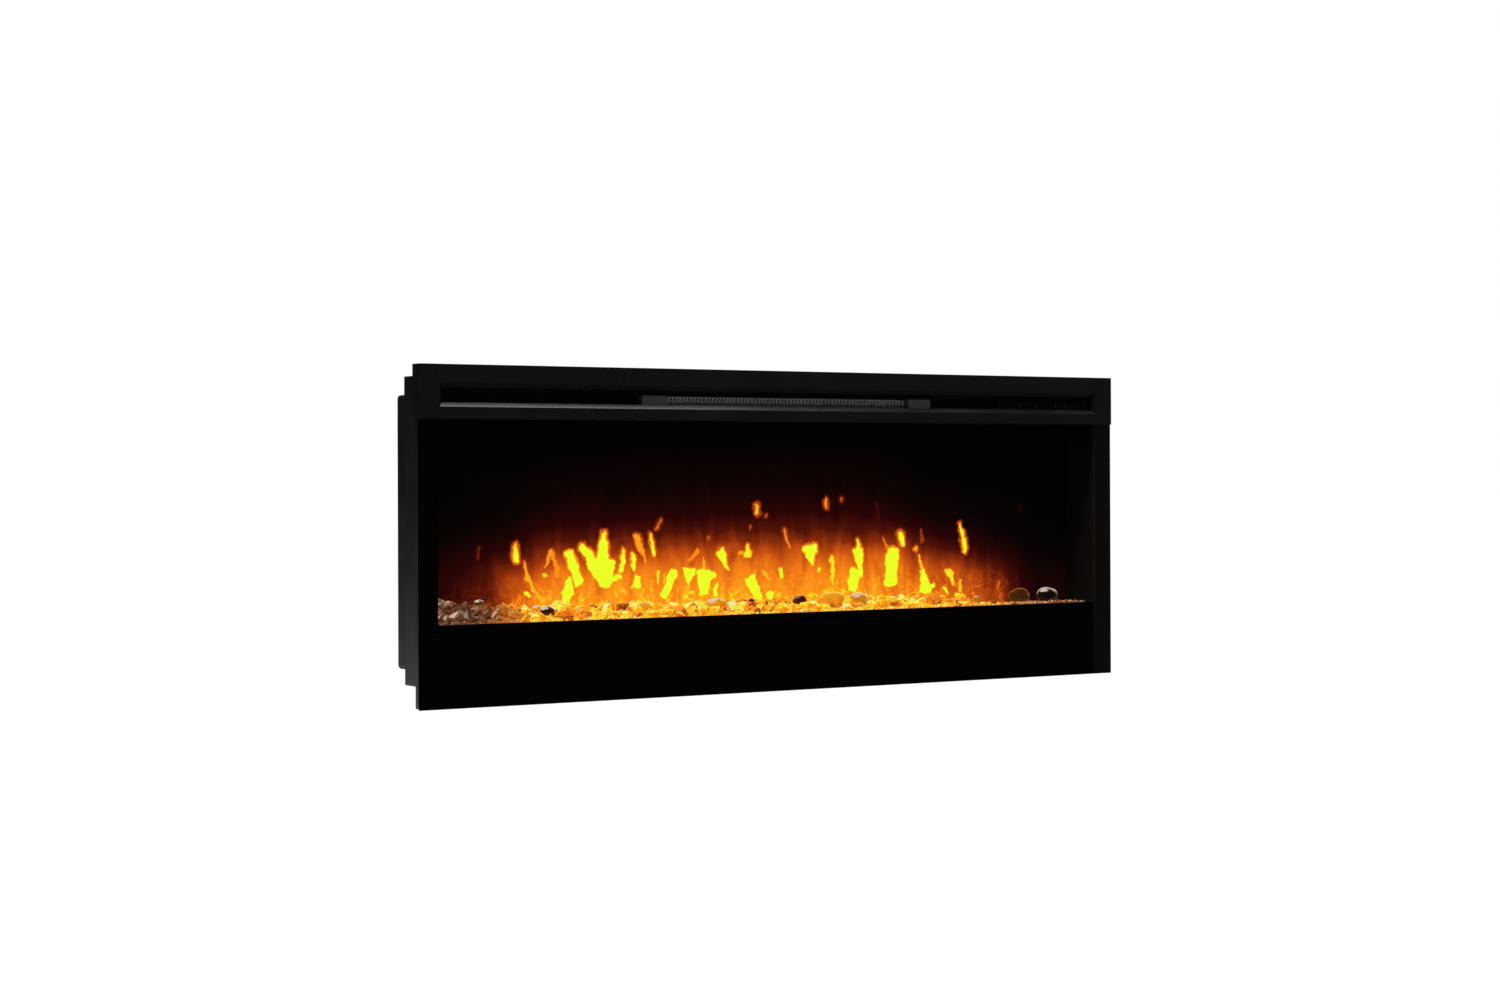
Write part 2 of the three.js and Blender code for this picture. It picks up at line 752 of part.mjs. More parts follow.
// LED board under the ember tray, on its steel channel.
function ledBoardSolid(left, right, front, rear, z) {
  let strip = block([left, front, z], [right, rear, z + ledBoard]);
  const count = Math.floor((right - left) / ledSpacing);
  const y = (front + rear) / 2;
  for (let i = 0; i < count; i++) {
    const x = (left + right) / 2 + (i - (count - 1) / 2) * ledSpacing;
    strip = strip.add(block([x - 2.5, y - 2.5, z + ledBoard - 0.2], [x + 2.5, y + 2.5, z + ledBoard + 1.6]));
  }
  return strip;
}
const emberLedZ = trayFloor - 14;
const emberLedY = (fireFront + trayRear) / 2;
const emberLedLeft = -halfFire + 20;
add(
  "ember_led_strip",
  ledBoardSolid(
    emberLedLeft,
    -emberLedLeft,
    emberLedY - ledBoardWidth / 2,
    emberLedY + ledBoardWidth / 2,
    emberLedZ,
  ),
  { color: 0xe8e6df, roughness: 0.6, metalness: 0 },
);
const channelTop = emberLedZ - gap;
const channelWall = channelTop - (frameBottom + casingSheet + gap);
const ledChannel = [
  [emberLedY - 14, channelTop],
  [emberLedY - 14, channelTop - channelWall],
  [emberLedY - 14 + fireSheet, channelTop - channelWall],
  [emberLedY - 14 + fireSheet, channelTop - fireSheet],
  [emberLedY + 14 - fireSheet, channelTop - fireSheet],
  [emberLedY + 14 - fireSheet, channelTop - channelWall],
  [emberLedY + 14, channelTop - channelWall],
  [emberLedY + 14, channelTop],
];
add("led_channel", lengthwise(ledChannel, emberLedLeft - 10, 10 - emberLedLeft), bareSteel);

// ---------------------------------------------------------------- flame maker, behind the screen

// Bright steel sheet with tongues cut through it.
const cutoutFront = casingFront + 6;
const casingLow = casingBottom + casingSheet;
function flameCutout() {
  const low = casingLow + 3;
  const high = windowBottom + (windowTop - windowBottom) * 0.62;
  const sheet = outline(-halfCasing + casingSheet + 8, low, halfCasing - casingSheet - 8, high);
  const tongues = 15;
  const pitch = (2 * halfCasing - 90) / tongues;
  const base = windowBottom + 4;
  for (let i = 0; i < tongues; i++) {
    const x = (i - (tongues - 1) / 2) * pitch;
    const tall = (high - base - 12) * (0.62 + 0.36 * Math.sin(i * 2.4) ** 2);
    const lean = 10 * Math.sin(i * 1.7);
    const tongue = new THREE.Path();
    tongue.moveTo(x - 8, base);
    tongue.quadraticCurveTo(x - 22, base + tall * 0.4, x + lean, base + tall);
    tongue.quadraticCurveTo(x + 20, base + tall * 0.35, x + 8, base);
    tongue.lineTo(x - 8, base);
    sheet.holes.push(tongue);
  }
  return upright(sheet, cutoutFront, cutoutFront + 0.8, 6);
}
add("flame_cutout", flameCutout(), bareSteel);

// Spindle with bright paddles that break up the light, driven from the right-hand end.
const rodY = (cutoutFront + casingRear) / 2 + 4;
const rodZ = windowBottom - 6;
const motorFace = halfCasing - casingSheet - 3 - flickerMotorDepth;
const couplingLength = 18;
const couplingRight = motorFace - 8;
const rodRight = couplingRight - couplingLength / 2;
const rodLeft = -halfCasing + casingSheet + 10;
function flickerRod() {
  let rod = barX(rodRadius, rodLeft, rodRight, rodY, rodZ, 16);
  const pitch = (rodRight - rodLeft - 50) / rodPaddles;
  for (let i = 0; i < rodPaddles; i++) {
    const paddle = new THREE.BoxGeometry(pitch * 0.8, 2 * rodPaddleRadius, 0.8);
    paddle.rotateX((i * 67 * Math.PI) / 180);
    paddle.translate(rodLeft + 20 + (i + 0.5) * pitch, rodY, rodZ);
    rod = rod.add(solid(paddle));
  }
  return rod;
}
add("flicker_rod", flickerRod(), { color: 0xc9c9c4, roughness: 0.25, metalness: 0.9 });

function flickerCoupling() {
  const sleeve = barX(rodRadius + 4, couplingRight - couplingLength, couplingRight, rodY, rodZ, 20);
  const bore = barX(rodRadius + gap, couplingRight - couplingLength - 1, rodRight + gap, rodY, rodZ, 16);
  const motorBore = barX(2 + gap, rodRight - 1, couplingRight + 1, rodY, rodZ, 16);
  return sleeve.subtract(bore).subtract(motorBore);
}
add("flicker_coupling", flickerCoupling(), rubber);

function flickerMotor() {
  const can = barX(flickerMotorRadius, motorFace, motorFace + flickerMotorDepth, rodY, rodZ, 32);
  return can.add(barX(2, couplingRight - 6, motorFace + 1, rodY, rodZ, 16));
}
add("flicker_motor", flickerMotor(), bareSteel);

function motorBracket() {
  const front = rodY - flickerMotorRadius;
  const rear = rodY + flickerMotorRadius;
  const left = motorFace - gap - 1.6;
  const plate = block([left, front, casingLow + gap], [left + 1.6, rear, rodZ + flickerMotorRadius]);
  const foot = block([left - 22, front, casingLow + gap], [left + 1, rear, casingLow + gap + 1.6]);
  return plate.add(foot).subtract(barX(4, left - 1, left + 3, rodY, rodZ, 16));
}
add("flicker_motor_bracket", motorBracket(), bareSteel);

function rodBearing() {
  const left = rodLeft + 4;
  const plate = block([left, rodY - 9, casingLow + gap], [left + 4, rodY + 9, rodZ + 9]);
  const foot = block([left, rodY - 9, casingLow + gap], [left + 24, rodY + 9, casingLow + gap + 3]);
  return plate.add(foot).subtract(barX(rodRadius + 0.05, left - 1, left + 5, rodY, rodZ, 16));
}
add("rod_bearing", rodBearing(), { color: 0xd8d4c8, roughness: 0.6, metalness: 0 });

// LED board on the casing floor, shining up at the rod.
add(
  "flame_led_strip",
  ledBoardSolid(
    -halfCasing + casingSheet + 60,
    halfCasing - casingSheet - 90,
    rodY - ledBoardWidth / 2,
    rodY + ledBoardWidth / 2,
    casingLow + gap,
  ),
  { color: 0xe8e6df, roughness: 0.6, metalness: 0 },
);

// ---------------------------------------------------------------- fan heater

const impellerRadius = housingInside / 2 - 3;
const impellerY = housingRear - impellerRadius - 12;
const impellerZ = (housingBottom + housingTop) / 2;
const impellerLeft = -halfHousing + housingSheet + 14;
const impellerRight = impellerLeft + impellerLength;

// Sheet-steel duct, open to the slot in front and to the casing's vents behind.
function heaterHousing() {
  const shell = block([-halfHousing, housingFront, housingBottom], [halfHousing, housingRear, housingTop]);
  const inside = block(
    [-halfHousing + housingSheet, housingFront + housingSheet, housingBottom + housingSheet],
    [halfHousing - housingSheet, housingRear - housingSheet, housingTop - housingSheet],
  );
  const outlet = block(
    [-halfMesh, housingFront - 1, mouthBottom],
    [halfMesh, housingFront + 2, housingTop - housingSheet],
  );
  const intake = block(
    [impellerLeft, housingRear - 2, housingBottom + 6],
    [impellerRight, housingRear + 1, housingTop - 6],
  );
  return shell.subtract(inside).subtract(outlet).subtract(intake);
}
add("heater_housing", heaterHousing(), bareSteel);

// Squirrel-cage impeller: curved blades between two discs on a shaft.
function fanImpeller() {
  const disc = 1.6;
  const shaftLeft = impellerLeft - 9;
  let wheel = barX(impellerRadius, impellerLeft, impellerLeft + disc, impellerY, impellerZ, 36);
  wheel = wheel.add(barX(impellerRadius, impellerRight - disc, impellerRight, impellerY, impellerZ, 36));
  wheel = wheel.add(barX(impellerShaftRadius, shaftLeft, impellerRight + 4, impellerY, impellerZ, 16));
  const outer = impellerRadius - 0.6;
  const inner = impellerRadius - 7;
  for (let i = 0; i < impellerBlades; i++) {
    const turn = (i / impellerBlades) * 2 * Math.PI;
    const reach = (radius, angle) => [
      impellerY + radius * Math.cos(turn + angle),
      impellerZ + radius * Math.sin(turn + angle),
    ];
    const blade = [
      reach(inner, 0),
      reach((inner + outer) / 2, 0.1),
      reach(outer, 0.3),
      reach(outer, 0.36),
      reach((inner + outer) / 2, 0.17),
      reach(inner, 0.09),
    ];
    wheel = wheel.add(lengthwise(blade, impellerLeft + disc / 2, impellerRight - disc / 2));
  }
  return wheel;
}
add("fan_impeller", fanImpeller(), { color: 0xb8b8b4, roughness: 0.35, metalness: 0.9 });

const fanMotorLeft = impellerRight + 10;
function fanMotor() {
  const radius = housingInside / 2 - 4;
  const can = barX(radius, fanMotorLeft, fanMotorLeft + fanMotorLength, impellerY, impellerZ, 32);
  const nose = barX(radius * 0.45, fanMotorLeft - 4, fanMotorLeft + 1, impellerY, impellerZ, 24);
  const foot = block(
    [fanMotorLeft + 6, impellerY - 12, housingBottom + housingSheet + gap],
    [fanMotorLeft + fanMotorLength - 6, impellerY + 12, impellerZ],
  );
  return can.add(nose).add(foot);
}
add("fan_motor", fanMotor(), bareSteel);

function fanBearing() {
  const left = impellerLeft - 8;
  const half = housingInside / 2 - gap;
  const plate = block([left, impellerY - 10, impellerZ - half], [left + 5, impellerY + 10, impellerZ + half]);
  return plate.subtract(
    barX(impellerShaftRadius + 0.05, left - 1, left + 6, impellerY, impellerZ, 16),
  );
}
add("fan_bearing", fanBearing(), { color: 0xd8d4c8, roughness: 0.6, metalness: 0 });

// Finned element across the duct between the fan and the outlet.
const elementY = housingFront + 34;
function heatingElement() {
  const half = elementLength / 2;
  const low = impellerZ - housingInside * 0.36;
  const high = impellerZ + housingInside * 0.36;
  let core = block([-half, elementY, low], [half, elementY + elementDepth, low + 3]);
  core = core.add(block([-half, elementY, high - 3], [half, elementY + elementDepth, high]));
  core = core.add(block(
    [-half, elementY + 3, impellerZ - 3],
    [half, elementY + elementDepth - 3, impellerZ + 3],
  ));
  const pitch = (elementLength - 2) / (elementFins - 1);
  for (let i = 0; i < elementFins; i++) {
    const x = -half + i * pitch;
    core = core.add(block([x, elementY + 0.5, low + 1], [x + 2, elementY + elementDepth - 0.5, high - 1]));
  }
  return core;
}
add("heating_element", heatingElement(), { color: 0x8c8c88, roughness: 0.5, metalness: 0.8 });

for (const [end, side] of ends) {
  const x0 = (side * elementLength) / 2;
  const holder = endBlock(
    side,
    [elementLength / 2 + gap, elementY - 2, housingBottom + housingSheet + gap],
    [elementLength / 2 + 6, elementY + elementDepth + 2, housingTop - housingSheet - gap],
  );
  add("element_holder_" + end, holder, { color: 0xe2ddd0, roughness: 0.7, metalness: 0 });
}

// Snap-disc cut-out beside the element that stops it overheating.
const cutoutRadius = housingInside * 0.16;
const thermal = barX(
  cutoutRadius,
  elementLength / 2 + 6 + gap,
  elementLength / 2 + 16,
  elementY + elementDepth / 2,
  impellerZ,
);
add("thermal_cutout", thermal, blackPlastic);

// ---------------------------------------------------------------- electrics

// Power board on a steel tray, at the right of the heater.
const trayRight = halfCasing - casingSheet - 12;
const trayLeft = halfHousing + 60;
const trayBase = housingBottom;
const powerFront = casingFront + 8;
const powerRear = housingRear - 6;
function electricsTray() {
  const floor = block([trayLeft, powerFront, trayBase], [trayRight, powerRear, trayBase + fireSheet]);
  const rear = block(
    [trayLeft, powerRear - fireSheet, trayBase],
    [trayRight, powerRear, housingTop - 2],
  );
  return floor.add(rear);
}
add("electrics_tray", electricsTray(), bareSteel);

function powerBoard() {
  const base = trayBase + fireSheet + gap;
  const right = trayRight - 60;
  const left = trayLeft + 4;
  const front = powerFront + 3;
  const rear = powerRear - fireSheet - 3;
  const depth = rear - front;
  const room = housingTop - 4 - base;
  const on = (along, back, width, length, height) =>
    block(
      [left + along * (right - left), front + back * depth, base + 1],
      [left + along * (right - left) + width, front + back * depth + length, base + height],
    );
  return joined(
    block([left, front, base], [right, rear, base + 1.6]),
    on(0.06, 0.15, 30, 28, room * 0.7), // transformer
    on(0.36, 0.15, 14, 19, room * 0.45), // relay
    on(0.5, 0.15, 14, 19, room * 0.45), // relay
    on(0.68, 0.2, 18, 8, room * 0.5), // suppression capacitor
    on(0.1, 0.75, 50, 8, room * 0.3), // plug header
  );
}
add("power_board", powerBoard(), board);

function terminalBlock() {
  const left = trayRight - 52;
  const base = trayBase + fireSheet + gap;
  let body = block([left, powerFront + 8, base], [trayRight - 4, powerFront + 30, base + 16]);
  const ways = 3;
  for (let i = 0; i < ways; i++) {
    const x = left + 8 + i * 15;
    const screw = new THREE.CylinderGeometry(3, 3, 8, 12).rotateX(Math.PI / 2);
    body = body.subtract(solid(screw.translate(x, powerFront + 19, base + 16)));
  }
  return body;
}
add("terminal_block", terminalBlock(), { color: 0xe2ddd0, roughness: 0.6, metalness: 0 });

// The part's own frame: the middle of the wall rail's rear face is the origin.
fire.position.set(0, -wallPlane, -hangHeight);
const part = new THREE.Group();
part.add(fire);
export default part;
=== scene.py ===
"""Wall-hung electric fireplace: the looks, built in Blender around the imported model.

Metres. X to the right seen from the front, -Y out of the front, +Z up. The origin is the
middle of the wall rail's rear face. The file follows the fire as it is put together:
the room, the steel cases, the bezel and its slot, the glass, the firebox and its flames,
then the flame maker, the heater and the electrics behind them.
"""

import math
import random

import bmesh
import bpy
from mathutils import Matrix, Vector, noise


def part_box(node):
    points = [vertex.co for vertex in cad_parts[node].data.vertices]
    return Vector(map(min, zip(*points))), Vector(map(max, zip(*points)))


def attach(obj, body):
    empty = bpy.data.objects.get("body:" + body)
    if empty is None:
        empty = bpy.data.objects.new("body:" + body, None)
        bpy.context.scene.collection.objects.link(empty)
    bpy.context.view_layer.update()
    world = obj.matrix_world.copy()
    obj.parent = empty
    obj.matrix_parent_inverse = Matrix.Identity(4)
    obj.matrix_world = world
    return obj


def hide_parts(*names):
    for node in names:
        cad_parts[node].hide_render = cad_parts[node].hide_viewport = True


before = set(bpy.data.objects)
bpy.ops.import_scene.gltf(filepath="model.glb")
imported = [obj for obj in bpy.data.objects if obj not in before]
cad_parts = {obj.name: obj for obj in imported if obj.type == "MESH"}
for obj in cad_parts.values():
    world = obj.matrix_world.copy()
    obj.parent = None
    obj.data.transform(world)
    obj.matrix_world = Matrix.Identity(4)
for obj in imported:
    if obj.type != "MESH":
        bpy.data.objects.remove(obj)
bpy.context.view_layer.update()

# ------------------------------------------------------------------ camera
# A long lens at the height of the fire's middle, standing to the left of the fire and
# turned towards it. It leans a fifth of a degree, and the shift keeps uprights upright.
camera_place = (-2.2549, -3.6210, -0.0157)
camera_turn = math.radians(32.279)
camera_tilt = math.radians(0.123)
camera_lean = math.radians(-0.203)


def set_out(name, thing):
    """Puts a camera, a light or a mesh in the scene under this name."""
    made = bpy.data.objects.new(name, thing)
    bpy.context.scene.collection.objects.link(made)
    return made


eye = bpy.data.cameras.new("eye")
eye.lens = 63.51
eye.sensor_width = 36.0
eye.shift_y = -0.02016
camera = set_out("camera", eye)
camera.matrix_world = (
    Matrix.Translation(camera_place)
    @ Matrix.Rotation(-camera_turn, 4, "Z")
    @ Matrix.Rotation(math.pi / 2 + camera_tilt, 4, "X")
    @ Matrix.Rotation(camera_lean, 4, "Z")
)
bpy.context.scene.camera = camera
bpy.context.scene.view_settings.view_transform = "Standard"


# ------------------------------------------------------------------ room and light
# A pale studio: a matt floor well below the fire and pale air that gives off little light.
# Soft lamps stand overhead, in front at the right, behind, and low at the back left; a dim
# screen at the far right and even daylight fill in the rest.
def place(tree, kind, feeds=None, **settings):
    """One shader node, its settings made and its sockets given values or other outputs."""
    made = tree.nodes.new("ShaderNode" + kind)
    for name, value in settings.items():
        setattr(made, name, value)
    for socket, value in (feeds or {}).items():
        if isinstance(value, bpy.types.NodeSocket):
            tree.links.new(value, made.inputs[socket])
        else:
            made.inputs[socket].default_value = value
    return made


def finish_named(name):
    """A new material with one Principled shader: (material, node tree, shader)."""
    material = bpy.data.materials.new(name)
    material.use_nodes = True
    tree = material.node_tree
    tree.nodes.clear()
    shader = place(tree, "BsdfPrincipled")
    place(tree, "OutputMaterial", {"Surface": shader.outputs[0]})
    return material, tree, shader


def feed(tree, shader, **feeds):
    """Sets or links a shader's or a group's sockets by name, with _ for each space."""
    for name, value in feeds.items():
        socket = shader.inputs[name.replace("_", " ")]
        if isinstance(value, bpy.types.NodeSocket):
            tree.links.new(value, socket)
        else:
            socket.default_value = value


def cloudy(tree, spot, scale, detail, distortion=0.0):
    """Cloudy noise through the material, from 0 to 1."""
    feeds = {"Vector": spot, "Scale": scale, "Detail": detail, "Distortion": distortion}
    return place(tree, "TexNoise", feeds).outputs[0]


def ramp_through(tree, value, stops):
    """A colour ramp through the given (position, colour) stops, read at value."""
    made = place(tree, "ValToRGB", {0: value})
    elements = made.color_ramp.elements
    for position, rgb in stops[1:-1]:
        elements.new(position)
    for element, (position, rgb) in zip(elements, stops):
        element.position = position
        element.color = (*rgb, 1)
    return made.outputs[0]


air = bpy.data.worlds.new("studio air")
air.use_nodes = True
air.node_tree.nodes.clear()
seen = place(air.node_tree, "Background", {"Color": (1, 1, 1, 1), "Strength": 1.0})
shed = place(
    air.node_tree, "Background", {"Color": (0.92, 0.96, 1, 1), "Strength": 0.006}
)
pick = place(
    air.node_tree, "MixShader",
    {0: place(air.node_tree, "LightPath").outputs["Is Camera Ray"], 1: shed.outputs[0],
     2: seen.outputs[0]},
)
place(air.node_tree, "OutputWorld", {"Surface": pick.outputs[0]})
bpy.context.scene.world = air

floor_level = -1.35
floor_corners = [(-60, -60), (60, -60), (60, 90), (-60, 90)]
floor_mesh = bpy.data.meshes.new("floor")
floor_mesh.from_pydata(
    [(x, y, floor_level) for x, y in floor_corners], [], [(0, 1, 2, 3)]
)
floor = set_out("floor", floor_mesh)
material, tree, shader = finish_named("pale floor")
spot = place(tree, "TexCoord").outputs["Object"]
mottle = cloudy(tree, spot, 0.8, 4.0)
tone = ramp_through(
    tree, mottle, [(0.0, (0.86, 0.86, 0.86)), (1.0, (0.90, 0.90, 0.90))]
)
feed(tree, shader, Base_Color=tone, Roughness=0.9)
feed(tree, shader, Emission_Color=(1, 1, 1, 1), Emission_Strength=0.22)
floor_mesh.materials.append(material)
floor.visible_glossy = False
floor.visible_transmission = False


def lamp(name, kind, at, towards, energy, size, mirrored=True):
    """A studio lamp; one that isn't mirrored leaves no reflection in the pieces."""
    light = bpy.data.lights.new(name, kind)
    light.energy = energy
    if kind == "AREA":
        light.shape = "RECTANGLE"
        light.size, light.size_y = size
    else:
        light.angle = size
    stand = set_out(name, light)
    stand.location = at
    aim = Vector(towards) - Vector(at)
    stand.rotation_euler = aim.to_track_quat("-Z", "Y").to_euler()
    stand.visible_glossy = mirrored
    stand.visible_transmission = mirrored


lamp(
    "daylight", "SUN", at=(-0.6, -2.0, 5.0), towards=(0, 0, 0), energy=3.4,
    size=math.radians(24), mirrored=False,
)
lamp(
    "overhead_softbox", "AREA", at=(-0.05, -0.15, 2.1), towards=(-0.05, -0.15, 0),
    energy=84, size=(2.1, 1.5),
)
lamp(
    "front_softbox", "AREA", at=(3.6, -4.2, 0.6), towards=(0.3, 0, 0), energy=14,
    size=(1.6, 1.6), mirrored=False,
)
lamp(
    "dim_side_screen", "AREA", at=(6.9, -5.0, 0.1), towards=(6.9, 0, 0.1), energy=1.3,
    size=(4.6, 3.0),
)
lamp(
    "low_softbox", "AREA", at=(-1.9, 1.3, -0.95), towards=(-0.6, 0, -0.2), energy=12,
    size=(1.0, 0.7),
)
lamp(
    "back_softbox", "AREA", at=(1.6, 3.4, 1.5), towards=(0, 0, -0.1), energy=60,
    size=(2.2, 1.6), mirrored=False,
)


# ------------------------------------------------------------------ wall rail and hooks
# The rail screwed to the wall and the two hooks that drop over it are bent from sheet
# steel and zinc plated: a pale, slightly blue metal with a faint crystal pattern.
def effect(name, takes, gives):
    """An empty shader group with named sockets: (group, what it is given, its end)."""
    group = bpy.data.node_groups.new(name, "ShaderNodeTree")
    for label, kind, start in takes:
        socket = group.interface.new_socket(
            name=label, in_out="INPUT", socket_type="NodeSocket" + kind
        )
        if start is not None:
            socket.default_value = start
    for label, kind in gives:
        group.interface.new_socket(
            name=label, in_out="OUTPUT", socket_type="NodeSocket" + kind
        )
    return (
        group,
        group.nodes.new("NodeGroupInput").outputs,
        group.nodes.new("NodeGroupOutput"),
    )


def dress(material, *nodes):
    """Gives each of these parts of the frame its finish."""
    for name in nodes:
        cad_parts[name].data.materials[0] = material


def maths(tree, operation, *values):
    """One sum on numbers."""
    return place(tree, "Math", dict(enumerate(values)), operation=operation).outputs[0]


def vectors(tree, operation, *values):
    """One sum on vectors. SCALE takes a vector and a number."""
    sockets = (0, "Scale") if operation == "SCALE" else (0, 1, 2)
    made = place(tree, "VectorMath", dict(zip(sockets, values)), operation=operation)
    number = operation in ("DOT_PRODUCT", "LENGTH", "DISTANCE")
    return made.outputs["Value" if number else "Vector"]


def spread(tree, value, held, wanted, way="LINEAR"):
    """Spreads the first range of a value over the second, and stops at its ends."""
    ends = zip(("From Min", "From Max", "To Min", "To Max"), (*held, *wanted))
    feeds = {"Value": value, **dict(ends)}
    return place(tree, "MapRange", feeds, interpolation_type=way).outputs[0]


def raised(tree, height, strength, distance, normal=None):
    """The normal bent by a height, which may start from a normal already bent."""
    feeds = {"Strength": strength, "Distance": distance, "Height": height}
    if normal is not None:
        feeds["Normal"] = normal
    return place(tree, "Bump", feeds).outputs[0]


rounded_edge, given, end = effect(
    "rounded edge", [("Radius", "Float", 0.0006), ("Patchiness", "Float", 400.0)],
    [("Edge", "Float"), ("Normal", "Vector")],
)
turned = place(rounded_edge, "Bevel", {"Radius": given["Radius"]}, samples=4)
flat = place(rounded_edge, "NewGeometry")
agree = vectors(
    rounded_edge, "DOT_PRODUCT", turned.outputs[0], flat.outputs["True Normal"]
)
away = spread(rounded_edge, agree, (0.995, 0.80), (0.0, 1.0))
patches = cloudy(
    rounded_edge, place(rounded_edge, "TexCoord").outputs["Object"],
    given["Patchiness"], 3.0,
)
worn = spread(rounded_edge, patches, (0.42, 0.62), (0.0, 1.0))
rubbed = maths(rounded_edge, "MULTIPLY", away, worn)
feed(rounded_edge, end, Edge=rubbed, Normal=turned.outputs[0])

sheet_metal, given, end = effect(
    "sheet metal",
    [("Metal", "Color", (0.6, 0.6, 0.6, 1)), ("Crystal Size", "Float", 90.0),
     ("Rolling", "Float", 1400.0)],
    [("Colour", "Color"), ("Roughness", "Float"), ("Height", "Float")],
)
spot = place(sheet_metal, "TexCoord").outputs["Object"]
crystals = place(
    sheet_metal, "TexVoronoi", {"Vector": spot, "Scale": given["Crystal Size"]}
)
drawn_out = vectors(sheet_metal, "MULTIPLY", spot, (0.04, 1.0, 1.0))
rolling = cloudy(sheet_metal, drawn_out, given["Rolling"], 2.0)
cloud = cloudy(sheet_metal, spot, 14.0, 5.0)
grey = place(sheet_metal, "RGBToBW", {0: crystals.outputs["Color"]})
shade = spread(sheet_metal, grey.outputs[0], (0.0, 1.0), (0.78, 1.12))
stain = spread(sheet_metal, cloud, (0.3, 0.7), (0.8, 1.05))
depth = maths(sheet_metal, "MULTIPLY", shade, stain)
coloured = vectors(sheet_metal, "SCALE", given["Metal"], depth)
rough = spread(sheet_metal, rolling, (0.3, 0.7), (0.24, 0.46))
feed(sheet_metal, end, Colour=coloured, Roughness=rough, Height=rolling)


def metal_finish(name, metal, crystal_size, rolling, bump, edge_radius=0.0005, bare=1.0):
    """Bare or plated sheet metal with soft edges; bare is 0 where a skin hides it."""
    material, tree, shader = finish_named(name)
    sheet = place(
        tree, "Group",
        {"Metal": metal, "Crystal Size": crystal_size, "Rolling": rolling},
        node_tree=sheet_metal,
    )
    corner = place(tree, "Group", {"Radius": edge_radius}, node_tree=rounded_edge)
    relief = raised(tree, sheet.outputs["Height"], 0.35, bump, corner.outputs["Normal"])
    feed(tree, shader, Base_Color=sheet.outputs["Colour"], Metallic=bare)
    feed(tree, shader, Roughness=sheet.outputs["Roughness"], Normal=relief)
    return material


zinc = metal_finish(
    "zinc plated sheet", (0.56, 0.58, 0.60, 1), crystal_size=110.0, rolling=1500.0,
    bump=0.00003,
)
dress(zinc, "wall_rail", "hanging_hook_left", "hanging_hook_right")


# ------------------------------------------------------------------ the two steel cases
# The deep case behind and the wider shallow frame in front are folded from 1 to 1.2 mm
# sheet and powder coated black: a low sheen with an orange peel, thinner on the folds.
def mixed(tree, share, first, second):
    """The first colour where share is 0, the second where it is 1."""
    feeds = {0: share, 6: first, 7: second}
    return place(tree, "Mix", feeds, data_type="RGBA").outputs[2]


def surface_way(tree):
    """The X, Y and Z of the way that the surface faces."""
    normal = place(tree, "NewGeometry").outputs["Normal"]
    return place(tree, "SeparateXYZ", {0: normal}).outputs


powder_coat, given, end = effect(
    "powder coat",
    [("Paint", "Color", (0.01, 0.01, 0.01, 1)), ("Peel Size", "Float", 700.0),
     ("Dullest", "Float", 0.5), ("Glossiest", "Float", 0.35), ("Dust", "Float", 0.2)],
    [("Colour", "Color"), ("Roughness", "Float"), ("Height", "Float")],
)
spot = place(powder_coat, "TexCoord").outputs["Object"]
peel = place(
    powder_coat, "TexNoise",
    {"Vector": spot, "Scale": given["Peel Size"], "Detail": 2.0, "Roughness": 0.45},
)
fine = cloudy(powder_coat, spot, 3600.0, 1.0)
drift = cloudy(powder_coat, spot, 9.0, 6.0)
upward = spread(powder_coat, surface_way(powder_coat)["Z"], (0.2, 1.0), (0.12, 1.0))
settled = spread(powder_coat, drift, (0.45, 0.75), (0.0, 1.0))
fallen = maths(powder_coat, "MULTIPLY", upward, settled)
dusted = maths(powder_coat, "MULTIPLY", fallen, given["Dust"])
tone = spread(powder_coat, peel.outputs[0], (0.3, 0.7), (0.82, 1.18))
painted = vectors(powder_coat, "SCALE", given["Paint"], tone)
colour = mixed(powder_coat, dusted, painted, (0.16, 0.15, 0.14, 1))
dull = spread(powder_coat, drift, (0.3, 0.7), (given["Glossiest"], given["Dullest"]))
skin = maths(powder_coat, "MULTIPLY_ADD", fine, 0.25, peel.outputs[0])
feed(powder_coat, end, Colour=colour, Roughness=dull, Height=skin)


def paint_finish(name, paint, peel, dullest, glossiest, dust, bump, bare, edge_radius):
    """A powder coat that is thin along the edges, where the bare colour shows a little."""
    material, tree, shader = finish_named(name)
    coat = place(
        tree, "Group",
        {"Paint": paint, "Peel Size": peel, "Dullest": dullest, "Glossiest": glossiest,
         "Dust": dust},
        node_tree=powder_coat,
    )
    corner = place(tree, "Group", {"Radius": edge_radius}, node_tree=rounded_edge)
    thin = mixed(tree, corner.outputs["Edge"], coat.outputs["Colour"], bare)
    relief = raised(tree, coat.outputs["Height"], 0.5, bump, corner.outputs["Normal"])
    feed(tree, shader, Base_Color=thin, Roughness=coat.outputs["Roughness"])
    feed(tree, shader, Normal=relief)
    return material


case_paint = paint_finish(
    "case powder coat", (0.0032, 0.0034, 0.0034, 1), peel=520.0, dullest=0.40,
    glossiest=0.32, dust=0.12, bump=0.00012, bare=(0.045, 0.045, 0.045, 1),
    edge_radius=0.0008,
)
dress(case_paint, "rear_casing", "recess_frame")


# ------------------------------------------------------------------ screws
# Zinc plated pan-head screws with a cross recess: they close the back of the deep case,
# hold its flange to the shallow frame, and fix the rail to the wall through its holes.
head_radius, head_height, recess_depth = 0.0040, 0.0022, 0.0012
case_back, flange_back, rail_front = -0.009, -0.090, -0.002


